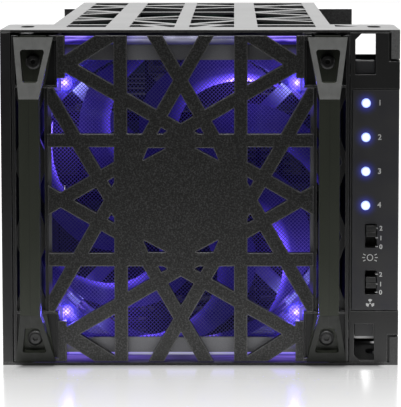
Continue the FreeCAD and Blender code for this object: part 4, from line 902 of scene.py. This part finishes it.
def buildWires(sheet):
    low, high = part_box("dust_mesh")
    centreX, centreZ = fanCentre.x, fanCentre.z
    padZ = wires["armHeight"] * mm
    padX = wires["armWidth"] * mm
    rectangles = [((low.x, high.x), (centreZ - padZ, centreZ + padZ)),
                  ((centreX - padX, centreX + padX), (low.z, high.z))]
    reach = wires["reach"] * mm
    count = int(2 * reach / (wires["pitch"] * mm))
    half = wires["width"] * mm / 2
    root = math.sqrt(0.5)
    for layer, slant in enumerate((1, -1)):
        front = low.y + (layer * wires["depth"] + wires["gap"]) * mm
        back = front + wires["depth"] * mm
        for k in range(count):
            offset = -reach + (k + 0.5) * wires["pitch"] * mm
            origin = (centreX - slant * root * offset, centreZ + root * offset)
            heading = (root, slant * root)
            for start, end in spans(origin, heading, rectangles):
                ends = [(origin[0] + heading[0] * t, origin[1] + heading[1] * t) for t in (start, end)]
                side = (-heading[1] * half, heading[0] * half)
                ring = []
                for x, z in ends:
                    ring.append([sheet.verts.new((x + side[0], back, z + side[1])),
                                 sheet.verts.new((x, front, z)),
                                 sheet.verts.new((x - side[0], back, z - side[1]))])
                for j in range(3):
                    nextJ = (j + 1) % 3
                    sheet.faces.new((ring[0][j], ring[0][nextJ], ring[1][nextJ], ring[1][j]))


wireMesh = meshFrom("dustMeshWires", buildWires)
meshPiece = piece("dustMeshWires", wireMesh, "fan_module", wireFinish)
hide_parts("dust_mesh")

# Rotor: a hub with a domed cap and seven swept blades, twisted and thinned towards their tips
rotor = {"blades": 7, "firstBlade": -22.0, "hub": 19.5, "front": 8.5, "back": 26.5, "tip": 56.3,
         "rootInset": 0.9, "capRound": 2.4, "capSteps": 6, "wall": 2.5, "cap": 2.0, "middle": 0.01,
         "sides": 72, "rings": 12, "chordSteps": 10, "rootChord": 19.0, "tipChord": 30.0,
         "rootAngle": 42.0, "tipAngle": 62.0, "sweep": 52.0, "thick": 1.9, "thin": 0.9, "taper": 0.75,
         "camber": 0.07, "inset": 0.3, "sharp": 40.0}


def between(share, root, tip):
    return root + share * (tip - root)


# A point of a blade: its share of the way out, its share of the chord, and the side it is on
def bladePoint(share, chord, side):
    radius = between(share, rotor["hub"] - rotor["rootInset"], rotor["tip"])
    length = between(share, rotor["rootChord"], rotor["tipChord"])
    stagger = math.radians(between(share, rotor["rootAngle"], rotor["tipAngle"]))
    offMiddle = (2 * chord - 1) ** 2
    thickness = between(share, rotor["thick"], rotor["thin"]) * (1 - rotor["taper"] * offMiddle)
    lift = rotor["camber"] * length * (1 - offMiddle) + side * thickness / 2
    along = (chord - 0.5) * length
    axial = along * math.cos(stagger) + lift * math.sin(stagger)
    across = -along * math.sin(stagger) + lift * math.cos(stagger)
    turn = math.radians(rotor["sweep"]) * share ** 2 + across / radius
    depth = (rotor["front"] + rotor["back"]) / 2 + axial
    return radius, turn, min(max(depth, rotor["front"] + rotor["inset"]), rotor["back"] - rotor["inset"])


def onRotor(radius, turn, depth):
    sideways, upright = radius * math.sin(turn) * mm, radius * math.cos(turn) * mm
    return fanCentre.x + sideways, at(depth), fanCentre.z + upright


def buildBlades(sheet, mark):
    rings, steps = rotor["rings"], rotor["chordSteps"]
    for blade in range(rotor["blades"]):
        start = 2 * math.pi * blade / rotor["blades"] + math.radians(rotor["firstBlade"])
        grid = {}
        for side in (-1, 1):
            for i in range(rings + 1):
                for j in range(steps + 1):
                    radius, turn, depth = bladePoint(i / rings, j / steps, side)
                    vert = sheet.verts.new(onRotor(radius, start + turn, depth))
                    vert[mark] = j / steps
                    grid[side, i, j] = vert
        for i in range(rings):
            for j in range(steps):
                for side in (-1, 1):
                    corners = ((i, j), (i + 1, j), (i + 1, j + 1), (i, j + 1))
                    sheet.faces.new([grid[side, ring, step] for ring, step in corners])
            for j in (0, steps):
                sheet.faces.new([grid[-1, i, j], grid[-1, i + 1, j], grid[1, i + 1, j], grid[1, i, j]])
        for j in range(steps):
            for i in (0, rings):
                sheet.faces.new([grid[-1, i, j], grid[-1, i, j + 1], grid[1, i, j + 1], grid[1, i, j]])


def buildHub(sheet, mark):
    hub, cut, front, back = rotor["hub"], rotor["capRound"], rotor["front"], rotor["back"]
    bore = hub - rotor["wall"]
    profile = [(rotor["middle"], front)]
    for k in range(rotor["capSteps"] + 1):
        turn = math.radians(90 * k / rotor["capSteps"])
        profile.append((hub - cut + cut * math.sin(turn), front + cut - cut * math.cos(turn)))
    inside = front + rotor["cap"]
    profile += [(hub, back), (bore, back), (bore, inside), (rotor["middle"], inside)]
    count = rotor["sides"]
    loops = [[sheet.verts.new(onRotor(radius, 2 * math.pi * k / count, depth)) for k in range(count)]
             for radius, depth in profile]
    for loop in loops:
        for vert in loop:
            vert[mark] = 1.0
    for first, second in zip(loops, loops[1:]):
        for k in range(count):
            following = (k + 1) % count
            sheet.faces.new([first[k], first[following], second[following], second[k]])


def buildRotor(sheet):
    mark = sheet.verts.layers.float.new("chordPlace")  # a point's share of the chord, from the leading edge
    buildBlades(sheet, mark)
    buildHub(sheet, mark)


rotorMesh = meshFrom("sweptRotor", buildRotor)
rotorPiece = piece("sweptRotor", rotorMesh, "fan_rotor", rotorFinish, smooth=True)
rotorPiece.modifiers.new("sharp", "EDGE_SPLIT").split_angle = math.radians(rotor["sharp"])
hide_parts("fan_rotor")

# Blue lamps in the fan's corners
cornerLamps = {"power": 0.012, "colour": (0.16, 0.12, 1.0), "radius": 2.0, "depth": 5.9}
for k, (signX, signZ) in enumerate(((-1, -1), (-1, 1), (1, -1), (1, 1))):
    bulbData = bpy.data.lights.new("cornerGlow%d" % k, "POINT")
    bulbData.energy = cornerLamps["power"]
    bulbData.color = cornerLamps["colour"]
    bulbData.shadow_soft_size = cornerLamps["radius"] * mm
    bulb = bpy.data.objects.new("cornerGlow%d" % k, bulbData)
    reach = glowLook["led"] * mm
    bulb.location = (fanCentre.x + signX * reach, at(cornerLamps["depth"]), fanCentre.z + signZ * reach)
    bpy.context.scene.collection.objects.link(bulb)
    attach(bulb, "fan_module")
print("fan lit")

# Legends on the control panel: plain numbers by the lights and switches, each with its place and size
legend = {"dark": 148, "light": 188, "rise": 0.03, "bold": 0.05, "tick": (0.9, 0.3), "tickGap": 0.55,
          "tickRise": 0.36, "stroke": 0.32}
legendRows = [("1", 66.4, 98.4, 2.9), ("2", 66.4, 85.5, 2.9),
              ("3", 66.4, 72.7, 2.9), ("4", 66.4, 60.0, 2.9),
              ("2", 67.2, 51.3, 2.4), ("1", 67.2, 47.6, 2.4), ("0", 67.2, 44.3, 2.4),
              ("2", 67.2, 33.8, 2.4), ("1", 67.2, 30.1, 2.4), ("0", 67.2, 27.0, 2.4)]
switchRows = legendRows[4:]


def legendInk():
    look, spot = begin("legendInk")
    fine = look.grain(spot, 5.0, 3.0)
    return look.finish({
        "Base Color": look.mixed(fine, tone(legend["dark"]), tone(legend["light"])),
        "Roughness": 0.5 + fine * 0.2})


inkFinish = legendInk()


def printWord(name, word, x, z, size):
    curve = bpy.data.curves.new(name, "FONT")
    curve.body = word
    curve.size = size * mm
    curve.offset = legend["bold"] * mm
    holder = bpy.data.objects.new(name, curve)
    bpy.context.scene.collection.objects.link(holder)
    bpy.context.view_layer.update()
    mesh = bpy.data.meshes.new_from_object(holder.evaluated_get(bpy.context.evaluated_depsgraph_get()))
    bpy.data.objects.remove(holder)
    stoodUp = Matrix.Rotation(math.radians(90), 4, "X")
    mesh.transform(Matrix.Translation((x * mm, at(-legend["rise"]), z * mm)) @ stoodUp)
    mesh.materials.clear()
    piece(name, mesh, "cage", inkFinish)


for k, (word, x, z, size) in enumerate(legendRows):
    printWord("legend%02d" % (k + 1), word, x, z, size)


def flatShape(sheet, points):
    sheet.faces.new([sheet.verts.new((x * mm, at(-legend["rise"]), z * mm)) for x, z in points])


def strokeLine(sheet, x0, z0, x1, z1, width):
    length = math.hypot(x1 - x0, z1 - z0)
    offX = -(z1 - z0) / length * width / 2
    offZ = (x1 - x0) / length * width / 2
    starts = [(x0 + offX, z0 + offZ), (x0 - offX, z0 - offZ)]
    flatShape(sheet, starts + [(x1 - offX, z1 - offZ), (x1 + offX, z1 + offZ)])


# Marks beside the switches: a tick at each position, a lamp sign and a fan sign
lampSign = {"x": 63.75, "z": 41.0, "ring": 1.05, "sides": 12, "tall": 1.1, "rayStart": 1.9, "rayEnd": 2.9,
            "rays": (-28, 0, 28)}
fanSign = {"x": 63.9, "z": 23.6, "reach": 1.7, "blades": 3, "steps": 6, "root": 0.45, "spread": 34.0,
           "rounding": 0.12, "hub": 0.3, "hubSides": 8}


def around(centreX, centreZ, turn, reach, tall=1.0):
    return centreX + reach * math.cos(turn), centreZ + tall * reach * math.sin(turn)


def buildTicks(sheet):
    length, width = legend["tick"]
    for x, z, size in [row[1:] for row in switchRows]:
        middle = z + size * legend["tickRise"]
        end = x - legend["tickGap"]
        strokeLine(sheet, end - length, middle, end, middle, width)


def buildLampSign(sheet):
    x, z = lampSign["x"], lampSign["z"]
    turns = [2 * math.pi * k / lampSign["sides"] for k in range(lampSign["sides"])]
    ring = [around(x, z, turn, lampSign["ring"], lampSign["tall"]) for turn in turns]
    for first, second in zip(ring, ring[1:] + ring[:1]):
        strokeLine(sheet, *first, *second, legend["stroke"])
    for base, way in ((math.pi, -1), (0.0, 1)):
        for ray in lampSign["rays"]:
            turn = base + way * math.radians(ray)
            start, end = [around(x, z, turn, reach) for reach in (lampSign["rayStart"], lampSign["rayEnd"])]
            strokeLine(sheet, *start, *end, legend["stroke"])


def buildFanSign(sheet):
    x, z, steps, sides = fanSign["x"], fanSign["z"], fanSign["steps"], fanSign["hubSides"]
    for blade in range(fanSign["blades"]):
        turn = math.radians(90 + 360 / fanSign["blades"] * blade)
        points = [around(x, z, turn, fanSign["root"])]
        for k in range(steps + 1):
            share = 2 * k / steps - 1
            reach = fanSign["reach"] * (1 - fanSign["rounding"] * abs(share))
            points.append(around(x, z, turn + math.radians(fanSign["spread"] * share), reach))
        flatShape(sheet, points)
    flatShape(sheet, [around(x, z, 2 * math.pi * k / sides, fanSign["hub"]) for k in range(sides)])


signs = {"legendTicks": buildTicks, "lampSign": buildLampSign, "fanSign": buildFanSign}
for signName, build in signs.items():
    piece(signName, meshFrom(signName, build), "cage", inkFinish)
print("legends printed")
